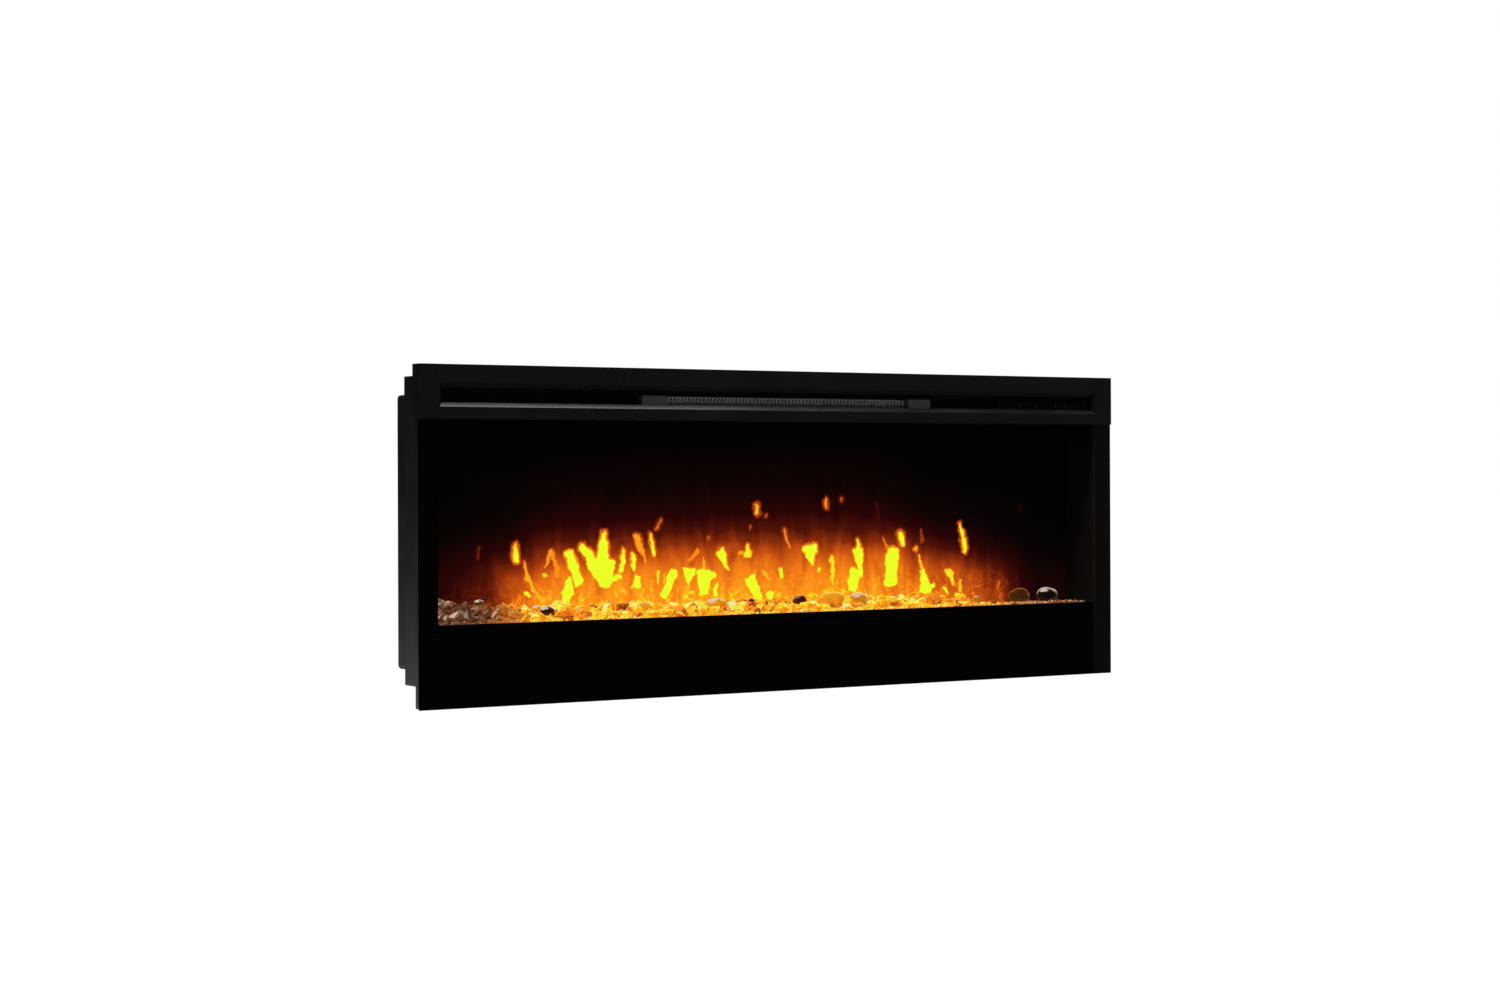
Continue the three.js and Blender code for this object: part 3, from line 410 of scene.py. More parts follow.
def pan_head(cloud, x, y, z, outward, turn):
    """One screw head on a face at y, standing outwards along Y, its cross turned."""
    def at(sideways, up, lift):
        return cloud.verts.new((x + sideways, y + outward * lift, z + up))

    sides = 28
    rings = [(1.0, 0.0), (1.0, 0.35), (0.96, 0.62), (0.86, 0.84), (0.70, 1.0)]
    loops = []
    for share, lift in rings:
        loops.append([])
        radius = head_radius * share
        for i in range(sides):
            angle = 2 * math.pi * i / sides
            across, rise = radius * math.cos(angle), radius * math.sin(angle)
            loops[-1].append(at(across, rise, head_height * lift))
    for low, high in zip(loops, loops[1:]):
        for i in range(sides):
            j = (i + 1) % sides
            cloud.faces.new((low[i], low[j], high[j], high[i]))
    arm, thick = head_radius * 0.52, head_radius * 0.14
    cross = []
    for quarter in range(4):
        for sideways, up in ((arm, -thick), (arm, thick), (thick, thick)):
            angle = turn + quarter * math.pi / 2
            across = sideways * math.cos(angle) - up * math.sin(angle)
            rise = sideways * math.sin(angle) + up * math.cos(angle)
            cross.append((across, rise))
    upper = [at(across, rise, head_height) for across, rise in cross]
    lower = [
        at(across * 0.7, rise * 0.7, head_height - recess_depth) for across, rise in cross
    ]
    count = len(cross)
    edges = [cloud.edges.new((upper[i], upper[(i + 1) % count])) for i in range(count)]
    top = loops[-1]
    edges += [cloud.edges.get((top[i], top[(i + 1) % sides])) for i in range(sides)]
    bmesh.ops.triangle_fill(cloud, use_beauty=True, edges=edges)
    for i in range(count):
        j = (i + 1) % count
        cloud.faces.new((upper[i], upper[j], lower[j], lower[i]))
    cloud.faces.new(lower)
    cloud.faces.new(list(reversed(loops[0])))


def piece_from(name, cloud, finish):
    """Makes worked-out faces into a piece in one finish."""
    mesh = bpy.data.meshes.new(name)
    cloud.to_mesh(mesh)
    cloud.free()
    mesh.materials.append(finish)
    return set_out(name, mesh)


def screws_on(name, spots, outward, rides):
    """Screws of one kind, each with its cross turned by chance."""
    cloud = bmesh.new()
    chance = random.Random(len(spots))
    for x, y, z in spots:
        pan_head(cloud, x, y, z, outward, chance.uniform(0, 1.5))
    bmesh.ops.recalc_face_normals(cloud, faces=cloud.faces)
    made = piece_from(name, cloud, screw_zinc)
    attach(made, rides)


screw_zinc = metal_finish(
    "screw zinc", (0.50, 0.52, 0.55, 1), crystal_size=700.0, rolling=2600.0,
    bump=0.00002, edge_radius=0.0002,
)
screws_on(
    "case_back_screws",
    [(x, case_back, z) for x in (-0.578, -0.22, 0.22, 0.578) for z in (-0.288, 0.092)]
    + [(x, case_back, z) for x in (-0.578, 0.578) for z in (-0.160, -0.034)],
    outward=1, rides="casing",
)
screws_on(
    "flange_screws",
    [(x, flange_back, z) for x in (-0.6075, 0.6075) for z in (-0.285, -0.135, 0.015)]
    + [(x, flange_back, 0.1185) for x in (-0.55, -0.28, 0.0, 0.28, 0.55)],
    outward=1, rides="casing",
)
screws_on(
    "wall_rail_screws",
    [(x, rail_front, -0.008) for x in (-0.32, -0.16, 0.16, 0.32)],
    outward=-1, rides="casing",
)


# ------------------------------------------------------------------ feet, gland, catches
# Two rubber feet keep the deep case off the wall, a nylon gland holds the supply lead on
# the right-hand side, and four moulded catches hold the glass front.
moulded, given, end = effect(
    "moulded plastic",
    [("Resin", "Color", (0.02, 0.02, 0.02, 1)), ("Grain", "Float", 2200.0),
     ("Dullest", "Float", 0.6), ("Glossiest", "Float", 0.4)],
    [("Colour", "Color"), ("Roughness", "Float"), ("Height", "Float")],
)
spot = place(moulded, "TexCoord").outputs["Object"]
spark = cloudy(moulded, spot, given["Grain"], 2.0)
flow = cloudy(moulded, spot, 45.0, 3.0, 0.6)
tone = spread(moulded, flow, (0.3, 0.7), (0.86, 1.14))
resin = vectors(moulded, "SCALE", given["Resin"], tone)
dull = spread(moulded, spark, (0.3, 0.7), (given["Glossiest"], given["Dullest"]))
feed(moulded, end, Colour=resin, Roughness=dull, Height=spark)


def plastic_finish(name, resin, grain, dullest, glossiest, bump, edge_radius=0.0004):
    """A moulded plastic or rubber with its grain and soft edges."""
    material, tree, shader = finish_named(name)
    skin = place(
        tree, "Group",
        {"Resin": resin, "Grain": grain, "Dullest": dullest, "Glossiest": glossiest},
        node_tree=moulded,
    )
    corner = place(tree, "Group", {"Radius": edge_radius}, node_tree=rounded_edge)
    relief = raised(tree, skin.outputs["Height"], 0.5, bump, corner.outputs["Normal"])
    feed(tree, shader, Base_Color=skin.outputs["Colour"])
    feed(tree, shader, Roughness=skin.outputs["Roughness"], Normal=relief)
    return material


black_rubber = plastic_finish(
    "black rubber", (0.022, 0.021, 0.020, 1), grain=1500.0, dullest=0.95, glossiest=0.8,
    bump=0.0001,
)
dress(black_rubber, "spacer_foot_left", "spacer_foot_right")
black_nylon = plastic_finish(
    "black nylon", (0.016, 0.016, 0.017, 1), grain=2400.0, dullest=0.5, glossiest=0.34,
    bump=0.00005,
)
dress(
    black_nylon, "cable_gland", "glass_catch_lower_left", "glass_catch_lower_right",
    "glass_catch_upper_left", "glass_catch_upper_right", "thermal_cutout",
)


# ------------------------------------------------------------------ bezel and slot
# The bezel is one folded strip of steel in satin black, with a bevelled slot pressed
# along it. A plain black plate closes the slot behind, and two spring clips hold it.
satin_paint = paint_finish(
    "bezel satin black", (0.0038, 0.0039, 0.0040, 1), peel=900.0, dullest=0.34,
    glossiest=0.26, dust=0.05, bump=0.00005, bare=(0.03, 0.03, 0.03, 1),
    edge_radius=0.0006,
)
dress(satin_paint, "top_bezel")
slot_paint = paint_finish(
    "slot plate black", (0.0015, 0.0015, 0.0015, 1), peel=700.0, dullest=0.6,
    glossiest=0.5, dust=0.2, bump=0.00008, bare=(0.01, 0.01, 0.01, 1),
    edge_radius=0.0004,
)
dress(slot_paint, "slot_backplate")
dress(zinc, "bezel_clip_left", "bezel_clip_right")


# ------------------------------------------------------------------ dark felt strip standing in for shade over the glass
# A strip of black felt glued under the bezel lies just above the glass front's top edge,
# so that no light shows through the gap when the glass is in place. It is a dark strip put
# in to stand for the shade in that gap.
felt_left, felt_right, felt_front, felt_rear = -0.637, 0.637, -0.1790, -0.1585
felt_under, felt_over, felt_fuzz = 0.0666, 0.0680, 0.00007
lengths, widths = 424, 8
felt = bmesh.new()


def felt_face(height, fuzz):
    """Rows of points over the strip at one height, each moved a little by the fuzz."""
    rows = []
    for i in range(lengths + 1):
        x = felt_left + (felt_right - felt_left) * i / lengths
        rows.append([])
        for j in range(widths + 1):
            y = felt_front + (felt_rear - felt_front) * j / widths
            moved = fuzz * noise.noise(Vector((x * 700, y * 700, 1.0)))
            rows[-1].append(felt.verts.new((x, y + moved, height + moved)))
    return rows


under, over = felt_face(felt_under, felt_fuzz), felt_face(felt_over, 0.0)
for i in range(lengths):
    low, low_next, top, top_next = under[i], under[i + 1], over[i], over[i + 1]
    for j in range(widths):
        felt.faces.new((low[j], low[j + 1], low_next[j + 1], low_next[j]))
        felt.faces.new((top[j], top_next[j], top_next[j + 1], top[j + 1]))
    felt.faces.new((low[0], low_next[0], top_next[0], top[0]))
    felt.faces.new((low[-1], top[-1], top_next[-1], low_next[-1]))
for j in range(widths):
    felt.faces.new((under[0][j], over[0][j], over[0][j + 1], under[0][j + 1]))
    felt.faces.new((under[-1][j], under[-1][j + 1], over[-1][j + 1], over[-1][j]))
material, tree, shader = finish_named("black felt")
spot = place(tree, "TexCoord").outputs["Object"]
fibres = cloudy(tree, spot, 2200.0, 4.0, 2.0)
tone = ramp_through(
    tree, fibres, [(0.0, (0.0005, 0.0005, 0.0005)), (1.0, (0.0060, 0.0060, 0.0060))]
)
pile = spread(tree, fibres, (0.0, 1.0), (0.85, 1.0))
relief = raised(tree, fibres, 0.8, 0.0003)
feed(tree, shader, Base_Color=tone, Roughness=pile, IOR=1.2)
feed(tree, shader, Normal=relief)
# The strip stands in for the shade in the gap between the bezel and the glass.
felt_shade_strip = piece_from("felt_shade_strip", felt, material)
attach(felt_shade_strip, "casing")


# ------------------------------------------------------------------ warm air outlet
# A moulded surround in grained black plastic frames the outlet, over a pierced sheet with
# two rows of slanting slots, black oxided so that the air behind stays dark. The sheet is
# given a lighter grey than black oxide: painted light, for the light that can't reach it
# down in the slot.
surround_plastic = plastic_finish(
    "outlet surround plastic", (0.026, 0.0262, 0.0265, 1), grain=1900.0, dullest=0.62,
    glossiest=0.46, bump=0.00007,
)
dress(surround_plastic, "outlet_surround")
# The sheet's grey is painted light: lighter than its black oxide so that its pattern shows
# down in the shaded slot.
pierced_sheet_painted_lighter = metal_finish(
    "pierced outlet sheet", (0.20, 0.20, 0.20, 1), crystal_size=260.0, rolling=1800.0,
    bump=0.00002, edge_radius=0.0002, bare=0.0,
)
dress(pierced_sheet_painted_lighter, "outlet_mesh")


# ------------------------------------------------------------------ controls
# A moulded strip at the right of the slot holds a rocker switch, the receiver's tinted
# lens, and two turned metal buttons, one for the heater and one for the flames.
strip_plastic = plastic_finish(
    "control strip plastic", (0.0012, 0.0012, 0.0013, 1), grain=2600.0, dullest=0.42,
    glossiest=0.3, bump=0.00004,
)
dress(strip_plastic, "control_strip")
rocker_plastic = plastic_finish(
    "rocker plastic", (0.0045, 0.0045, 0.0048, 1), grain=3000.0, dullest=0.36,
    glossiest=0.26, bump=0.00003,
)
dress(rocker_plastic, "rocker_key")
material, tree, shader = finish_named("turned button metal")
spot = place(tree, "TexCoord").outputs["Object"]
turning = cloudy(tree, spot, 5200.0, 1.0)
tone = ramp_through(
    tree, turning, [(0.3, (0.30, 0.30, 0.31)), (0.7, (0.44, 0.44, 0.45))]
)
sheen = spread(tree, turning, (0.3, 0.7), (0.26, 0.4))
corner = place(tree, "Group", {"Radius": 0.0003}, node_tree=rounded_edge)
relief = raised(tree, turning, 0.3, 0.00003, corner.outputs["Normal"])
feed(tree, shader, Base_Color=tone, Metallic=1.0, Roughness=sheen)
feed(tree, shader, Normal=relief)
dress(material, "power_button", "flame_button")

material, tree, shader = finish_named("receiver lens")
spot = place(tree, "TexCoord").outputs["Object"]
swirl = cloudy(tree, spot, 700.0, 2.0)
tone = ramp_through(
    tree, swirl, [(0.0, (0.010, 0.002, 0.003)), (1.0, (0.030, 0.005, 0.007))]
)
gloss = spread(tree, swirl, (0.0, 1.0), (0.04, 0.12))
feed(tree, shader, Base_Color=tone, Roughness=gloss, IOR=1.5)
dress(material, "receiver_lens")


# ------------------------------------------------------------------ glass front
# A 4 mm pane of clear float glass with polished edges, printed black behind in ceramic
# ink all round the window. A black steel carrier and a soft gasket back the print.
material, tree, shader = finish_named("clear float glass")
spot = place(tree, "TexCoord").outputs["Object"]
smears = cloudy(tree, spot, 16.0, 5.0, 1.2)
haze = spread(tree, smears, (0.5, 0.8), (0.0, 0.012))
tint = ramp_through(
    tree, smears, [(0.0, (0.985, 1.0, 0.992)), (1.0, (0.965, 0.985, 0.975))]
)
feed(tree, shader, Base_Color=tint, Roughness=haze, Metallic=0.0)
feed(tree, shader, Transmission_Weight=1.0, IOR=1.5)
clear = place(tree, "BsdfTransparent", {"Color": (0.92, 0.95, 0.93, 1)})
through = place(
    tree, "MixShader",
    {0: place(tree, "LightPath").outputs["Is Shadow Ray"], 1: shader.outputs[0],
     2: clear.outputs[0]},
)
tree.links.new(through.outputs[0], tree.nodes["Material Output"].inputs["Surface"])
dress(material, "front_glass")

material, tree, shader = finish_named("ceramic print")
spot = place(tree, "TexCoord").outputs["Object"]
screened = cloudy(tree, spot, 2400.0, 2.0)
patch = cloudy(tree, spot, 5.0, 4.0)
tone = ramp_through(
    tree, patch, [(0.3, (0.0004, 0.0004, 0.0004)), (0.7, (0.0009, 0.0009, 0.0009))]
)
dull = spread(tree, screened, (0.3, 0.7), (0.5, 0.7))
relief = raised(tree, screened, 0.2, 0.00002)
feed(tree, shader, Base_Color=tone, Roughness=dull, IOR=1.05)
feed(tree, shader, Normal=relief)
dress(material, "glass_border")
dress(case_paint, "glass_carrier")
foam = plastic_finish(
    "black foam", (0.0016, 0.0016, 0.0016, 1), grain=900.0, dullest=1.0, glossiest=0.9,
    bump=0.0002,
)
dress(foam, "glass_gasket")
dress(
    zinc, "glass_stud_lower_left", "glass_stud_lower_right", "glass_stud_upper_left",
    "glass_stud_upper_right",
)


# ------------------------------------------------------------------ firebox lining
# Side cheeks, ceiling and the tray under the crystals are thin sheet in a flat, heat
# resistant black that shows almost no reflection of the flames.
lining = paint_finish(
    "heat resistant matt black", (0.0007, 0.0006, 0.0006, 1), peel=1300.0, dullest=0.85,
    glossiest=0.7, dust=0.05, bump=0.00008, bare=(0.008, 0.008, 0.008, 1),
    edge_radius=0.0004,
)
dress(
    lining, "firebox_side_left", "firebox_side_right", "firebox_ceiling", "ember_tray"
)


# ------------------------------------------------------------------ flame screen
# A smoked acrylic panel that light from the cut-out sheet and turning rod behind paints
# with flames: pointed licks and loose sparks over a glow that dies away upwards.
screen_low, screen_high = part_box("flame_screen")
flame_tongue, given, end = effect(
    "flame tongue",
    [("Fire", "Vector", None), ("Foot", "Vector", None), ("Tip", "Vector", None),
     ("Foot Half", "Float", 0.006), ("Tip Half", "Float", 0.002), ("Heat", "Float", 1.0)],
    [("Fire", "Vector")],
)
before = place(flame_tongue, "SeparateXYZ", {0: given["Fire"]})
point = place(
    flame_tongue, "CombineXYZ", {0: before.outputs["X"], 1: before.outputs["Y"]}
)
reach = vectors(flame_tongue, "SUBTRACT", given["Tip"], given["Foot"])
offset = vectors(flame_tongue, "SUBTRACT", point.outputs[0], given["Foot"])
along = vectors(flame_tongue, "DOT_PRODUCT", offset, reach)
square = vectors(flame_tongue, "DOT_PRODUCT", reach, reach)
share = maths(flame_tongue, "DIVIDE", along, square)
nearest = vectors(flame_tongue, "SCALE", reach, share)
aside = vectors(flame_tongue, "DISTANCE", offset, nearest)
half = spread(flame_tongue, share, (0.0, 1.0), (given["Foot Half"], given["Tip Half"]))
within_sides = maths(flame_tongue, "SUBTRACT", half, aside)
from_middle = maths(flame_tongue, "SUBTRACT", share, 0.5)
out_from_middle = maths(flame_tongue, "ABSOLUTE", from_middle)
to_end = maths(flame_tongue, "SUBTRACT", 0.5, out_from_middle)
length = vectors(flame_tongue, "LENGTH", reach)
within_ends = maths(flame_tongue, "MULTIPLY_ADD", to_end, length, 0.0022)
inside = maths(flame_tongue, "SMOOTH_MIN", within_sides, within_ends, 0.006)
core = spread(flame_tongue, inside, (-0.0050, 0.0014), (0.0, 1.0), "SMOOTHSTEP")
around = maths(flame_tongue, "SMOOTH_MIN", within_sides, within_ends, 0.018)
halo = spread(flame_tongue, around, (-0.012, -0.001), (0.0, 0.56), "SMOOTHSTEP")
lit = maths(flame_tongue, "MAXIMUM", core, halo)
hot = maths(flame_tongue, "MULTIPLY", lit, given["Heat"])
hottest = maths(flame_tongue, "MAXIMUM", hot, before.outputs["Z"])
after = place(
    flame_tongue, "CombineXYZ",
    {0: before.outputs["X"], 1: before.outputs["Y"], 2: hottest},
)
feed(flame_tongue, end, Fire=after.outputs[0])

# Each tongue: foot and tip (metres right of the middle, metres above the panel's lower
# edge), half its width at the foot and at the tip, and its heat. Its ends are cut square.
tongues = [
    (-0.505, 0.109, -0.505, 0.125, 0.003, 0.003, 0.24),
    (-0.443, 0.104, -0.444, 0.127, 0.004, 0.001, 0.98),
    (-0.425, 0.076, -0.428, 0.101, 0.003, 0.001, 0.72),
    (-0.413, 0.060, -0.425, 0.079, 0.003, 0.003, 0.74),
    (-0.397, 0.042, -0.414, 0.062, 0.003, 0.003, 0.74),
    (-0.420, 0.049, -0.424, 0.055, 0.003, 0.003, 0.95),
    (-0.391, 0.082, -0.395, 0.084, 0.003, 0.003, 0.85),
    (-0.393, 0.096, -0.381, 0.118, 0.002, 0.003, 0.66),
    (-0.373, 0.078, -0.379, 0.113, 0.004, 0.003, 0.62),
    (-0.336, 0.066, -0.353, 0.114, 0.007, 0.006, 1.15),
    (-0.355, 0.052, -0.353, 0.076, 0.010, 0.002, 1.15),
    (-0.356, 0.056, -0.357, 0.030, 0.010, 0.003, 1.15),
    (-0.294, 0.098, -0.293, 0.142, 0.011, 0.002, 1.1),
    (-0.303, 0.086, -0.332, 0.124, 0.010, 0.004, 0.98),
    (-0.287, 0.065, -0.299, 0.101, 0.008, 0.014, 1.15),
    (-0.292, 0.069, -0.264, 0.076, 0.006, 0.002, 1.05),
    (-0.291, 0.065, -0.283, 0.099, 0.010, 0.007, 1.1),
    (-0.292, 0.067, -0.316, 0.100, 0.007, 0.009, 1.05),
    (-0.261, 0.084, -0.259, 0.118, 0.005, 0.001, 1.0),
    (-0.239, 0.086, -0.244, 0.112, 0.002, 0.002, 0.97),
    (-0.221, 0.097, -0.235, 0.137, 0.002, 0.005, 0.68),
    (-0.204, 0.109, -0.210, 0.140, 0.003, 0.001, 0.93),
    (-0.235, 0.060, -0.233, 0.076, 0.005, 0.006, 1.0),
    (-0.246, 0.060, -0.238, 0.066, 0.002, 0.003, 0.85),
    (-0.199, 0.149, -0.192, 0.161, 0.002, 0.001, 0.50),
    (-0.198, 0.064, -0.198, 0.082, 0.002, 0.002, 0.87),
    (-0.187, 0.067, -0.186, 0.080, 0.001, 0.001, 0.85),
    (-0.187, 0.043, -0.169, 0.082, 0.006, 0.006, 1.15),
    (-0.143, 0.059, -0.142, 0.084, 0.000, 0.011, 1.1),
    (-0.139, 0.047, -0.135, 0.049, 0.002, 0.002, 0.88),
    (-0.115, 0.047, -0.114, 0.081, 0.007, 0.014, 1.15),
    (-0.112, 0.068, -0.096, 0.077, 0.006, 0.004, 1.05),
    (-0.115, 0.080, -0.115, 0.101, 0.002, 0.001, 0.82),
    (-0.095, 0.043, -0.092, 0.062, 0.003, 0.002, 0.97),
    (-0.071, 0.082, -0.085, 0.110, 0.001, 0.008, 0.93),
    (-0.141, 0.097, -0.126, 0.112, 0.002, 0.004, 0.60),
    (-0.107, 0.131, -0.107, 0.135, 0.002, 0.002, 0.42),
    (-0.092, 0.172, -0.092, 0.182, 0.004, 0.004, 0.13),
    (-0.035, 0.104, -0.034, 0.120, 0.007, 0.003, 0.88),
    (-0.049, 0.107, -0.037, 0.108, 0.003, 0.003, 0.68),
    (-0.016, 0.170, -0.018, 0.182, 0.003, 0.002, 0.80),
    (0.000, 0.165, 0.000, 0.168, 0.002, 0.002, 0.42),
    (-0.030, 0.143, -0.029, 0.149, 0.002, 0.002, 0.40),
    (0.044, 0.116, 0.034, 0.143, 0.002, 0.002, 0.60),
    (-0.015, 0.037, -0.030, 0.069, 0.006, 0.009, 1.1),
    (-0.014, 0.022, -0.017, 0.042, 0.005, 0.006, 1.05),
    (-0.024, 0.064, -0.020, 0.081, 0.002, 0.000, 0.85),
    (0.008, 0.026, 0.007, 0.043, 0.006, 0.006, 0.97),
    (0.009, 0.064, -0.006, 0.079, 0.002, 0.003, 0.76),
    (0.030, 0.071, 0.028, 0.082, 0.004, 0.003, 0.96),
    (0.088, 0.088, 0.084, 0.115, 0.001, 0.013, 1.1),
    (0.100, 0.077, 0.101, 0.080, 0.003, 0.003, 0.94),
    (0.127, 0.056, 0.125, 0.098, 0.002, 0.004, 0.86),
    (0.115, 0.179, 0.115, 0.189, 0.002, 0.001, 0.70),
    (0.145, 0.188, 0.145, 0.191, 0.002, 0.002, 0.40),
    (0.182, 0.068, 0.176, 0.110, 0.002, 0.008, 1.1),
    (0.177, 0.106, 0.176, 0.123, 0.005, 0.001, 1.05),
    (0.165, 0.045, 0.171, 0.075, 0.007, 0.010, 1.15),
    (0.223, 0.125, 0.214, 0.185, 0.006, 0.003, 0.17),
    (0.236, 0.104, 0.227, 0.130, 0.004, 0.000, 0.55),
    (0.239, 0.051, 0.246, 0.106, 0.011, 0.010, 1.2),
    (0.266, 0.114, 0.259, 0.134, 0.003, 0.004, 0.98),
    (0.291, 0.106, 0.292, 0.111, 0.003, 0.003, 0.68),
    (0.304, 0.120, 0.301, 0.140, 0.004, 0.002, 0.34),
    (0.306, 0.068, 0.297, 0.097, 0.004, 0.001, 0.78),
    (0.311, 0.035, 0.305, 0.073, 0.011, 0.003, 1.08),
    (0.312, 0.039, 0.327, 0.047, 0.005, 0.003, 1.02),
    (0.394, 0.100, 0.388, 0.125, 0.002, 0.003, 0.97),
    (0.389, 0.120, 0.382, 0.146, 0.003, 0.001, 0.95),
    (0.367, 0.050, 0.358, 0.071, 0.002, 0.006, 0.86),
    (0.355, 0.032, 0.350, 0.042, 0.002, 0.003, 0.96),
    (0.382, 0.037, 0.382, 0.054, 0.003, 0.002, 0.80),
    (0.388, 0.024, 0.372, 0.031, 0.003, 0.003, 0.97),
    (0.459, 0.041, 0.466, 0.050, 0.003, 0.003, 0.46),
    (0.408, 0.046, 0.425, 0.046, 0.001, 0.001, 0.52),
    (0.508, 0.170, 0.508, 0.178, 0.003, 0.003, 0.12),
]
# How strong the glow is along the panel, and how high it reaches as a share of the full
# reach, both as (share of the panel's width, value). Then how it falls on its way up, as
# (share of its own reach, value).
full_reach = 0.4
glow_strength = [(0, 0.04), (0.03, 0.20), (0.06, 0.28), (0.085, 0.37), (0.105, 0.49),
                 (0.125, 0.62), (0.15, 0.80), (0.18, 0.95), (0.46, 1.0), (0.70, 0.95),
                 (0.76, 0.84), (0.80, 0.78), (0.83, 0.68), (0.86, 0.54), (0.885, 0.45),
                 (0.91, 0.30), (0.935, 0.17), (1, 0.11)]
glow_reach = [(0, 0.60), (0.1, 0.58), (0.12, 0.56), (0.18, 0.60), (0.25, 0.62),
              (0.70, 0.62), (0.77, 0.53), (1, 0.50)]
glow_fall = [(0, 0.68), (0.12, 0.66), (0.20, 0.62), (0.25, 0.585), (0.32, 0.54),
             (0.42, 0.41), (0.50, 0.28), (0.60, 0.17), (0.70, 0.105), (0.79, 0.07),
             (0.87, 0.06), (1, 0.03)]


def hand_curve(tree, value, points):
    """A curve through the given points, read at value."""
    made = place(tree, "FloatCurve", {"Value": value})
    curve = made.mapping.curves[0]
    curve.points[0].location = points[0]
    curve.points[1].location = points[-1]
    for point in points[1:-1]:
        curve.points.new(*point)
    made.mapping.update()
    return made.outputs[0]


material, tree, shader = finish_named("flame screen")
spot = place(tree, "TexCoord").outputs["Object"]
where = place(tree, "SeparateXYZ", {0: spot})
rise = maths(tree, "SUBTRACT", where.outputs["Z"], screen_low.z)
on_panel = place(tree, "CombineXYZ", {0: where.outputs["X"], 1: rise})
sway = place(
    tree, "TexNoise", {"Vector": on_panel.outputs[0], "Scale": 42.0, "Detail": 2.0}
)
swaying = vectors(tree, "SUBTRACT", sway.outputs["Color"], (0.5, 0.5, 0.5))
bent = vectors(tree, "MULTIPLY_ADD", swaying, (0.010, 0.010, 0.0), on_panel.outputs[0])
fret = place(
    tree, "TexNoise", {"Vector": on_panel.outputs[0], "Scale": 115.0, "Detail": 1.0}
)
fretting = vectors(tree, "SUBTRACT", fret.outputs["Color"], (0.5, 0.5, 0.5))
licked = vectors(tree, "MULTIPLY_ADD", fretting, (0.008, 0.007, 0.0), bent)
lying = place(tree, "SeparateXYZ", {0: licked})
flames = place(
    tree, "CombineXYZ", {0: lying.outputs["X"], 1: lying.outputs["Y"]}
).outputs[0]
for foot_x, foot_z, tip_x, tip_z, foot_half, tip_half, hotness in tongues:
    flames = place(
        tree, "Group",
        {"Fire": flames, "Foot": (foot_x, foot_z, 0), "Tip": (tip_x, tip_z, 0),
         "Foot Half": foot_half, "Tip Half": tip_half, "Heat": hotness},
        node_tree=flame_tongue,
    ).outputs["Fire"]
heat = place(tree, "SeparateXYZ", {0: flames}).outputs["Z"]

across = spread(tree, where.outputs["X"], (screen_low.x, screen_high.x), (0.0, 1.0))
strong = hand_curve(tree, across, glow_strength)
high = hand_curve(tree, across, glow_reach)
bent_rise = place(tree, "SeparateXYZ", {0: bent})
over = maths(tree, "DIVIDE", bent_rise.outputs["Y"], high)
share_of_reach = maths(tree, "MULTIPLY", over, 1 / full_reach)
fallen = hand_curve(tree, share_of_reach, glow_fall)
stretched = vectors(tree, "MULTIPLY", on_panel.outputs[0], (1.0, 0.32, 1.0))
streaks = cloudy(tree, stretched, 40.0, 2.5, 0.6)
streaked = spread(tree, streaks, (0.3, 0.7), (0.84, 1.14))
mottle = cloudy(tree, on_panel.outputs[0], 75.0, 2.0, 1.6)
low_down = spread(tree, rise, (0.085, 0.035), (0.0, 1.0))
patchy = spread(tree, mottle, (0.50, 0.68), (0.0, 0.22))
patches = maths(tree, "MULTIPLY_ADD", patchy, low_down, fallen)
glow = maths(tree, "MULTIPLY", patches, strong)
wavering = maths(tree, "MULTIPLY", glow, streaked)
fire = maths(tree, "MAXIMUM", heat, wavering)
colour = ramp_through(
    tree, fire,
    [
        (0.0, (0.0, 0.0, 0.0)), (0.06, (0.0035, 0.0004, 0.0004)),
        (0.14, (0.024, 0.0010, 0.0010)), (0.22, (0.085, 0.006, 0.0015)),
        (0.32, (0.27, 0.028, 0.003)), (0.44, (0.60, 0.085, 0.005)),
        (0.58, (0.95, 0.22, 0.008)), (0.70, (1.0, 0.36, 0.010)),
        (0.82, (0.93, 0.66, 0.014)), (0.92, (0.84, 0.98, 0.016)),
        (1.0, (0.84, 1.0, 0.020)),
    ],
)
on_front = spread(tree, surface_way(tree)["Y"], (-0.5, -0.9), (0.0, 1.0))
shown = mixed(tree, on_front, (0.02, 0.004, 0.001, 1), colour)
grain = cloudy(tree, spot, 3000.0, 1.0)
satin = spread(tree, grain, (0.0, 1.0), (0.45, 0.7))
smoke = ramp_through(
    tree, grain, [(0.0, (0.0004, 0.0003, 0.0003)), (1.0, (0.0010, 0.0008, 0.0008))]
)
feed(tree, shader, Base_Color=smoke, Roughness=satin, IOR=1.15)
feed(tree, shader, Emission_Color=shown, Emission_Strength=1.1)
material.cycles.emission_sampling = "NONE"
dress(material, "flame_screen")


# ------------------------------------------------------------------ ember bed
# Broken glass crystals heaped over an LED strip, with crumbs along the front edge. They
# are smoky brown where the strip stops at the left, and glow amber to lemon elsewhere.
# All of this is painted light: the glow with its pale painted highlights, the smoky brown
# painted glow at the left, and a body colour painted lighter where the strip shines.
bed_low, bed_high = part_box("ember_bed")
bed_front, bed_back = bed_low.y + 0.001, bed_high.y - 0.001
heap_foot, rear_height, crumb_level = -0.2345, 0.023, -0.2283
bank_from, bank_over, bank_rise = -0.45, 0.05, 0.010
thin_from, thin_over, thin_drop = 0.28, 0.14, 0.017
small_chips_from, small_share = 0.38, 0.45
splinter_shape = (1.0, 0.72, 0.5)
chip_margin, crumb_margin = 0.012, 0.006
rng = random.Random(11)


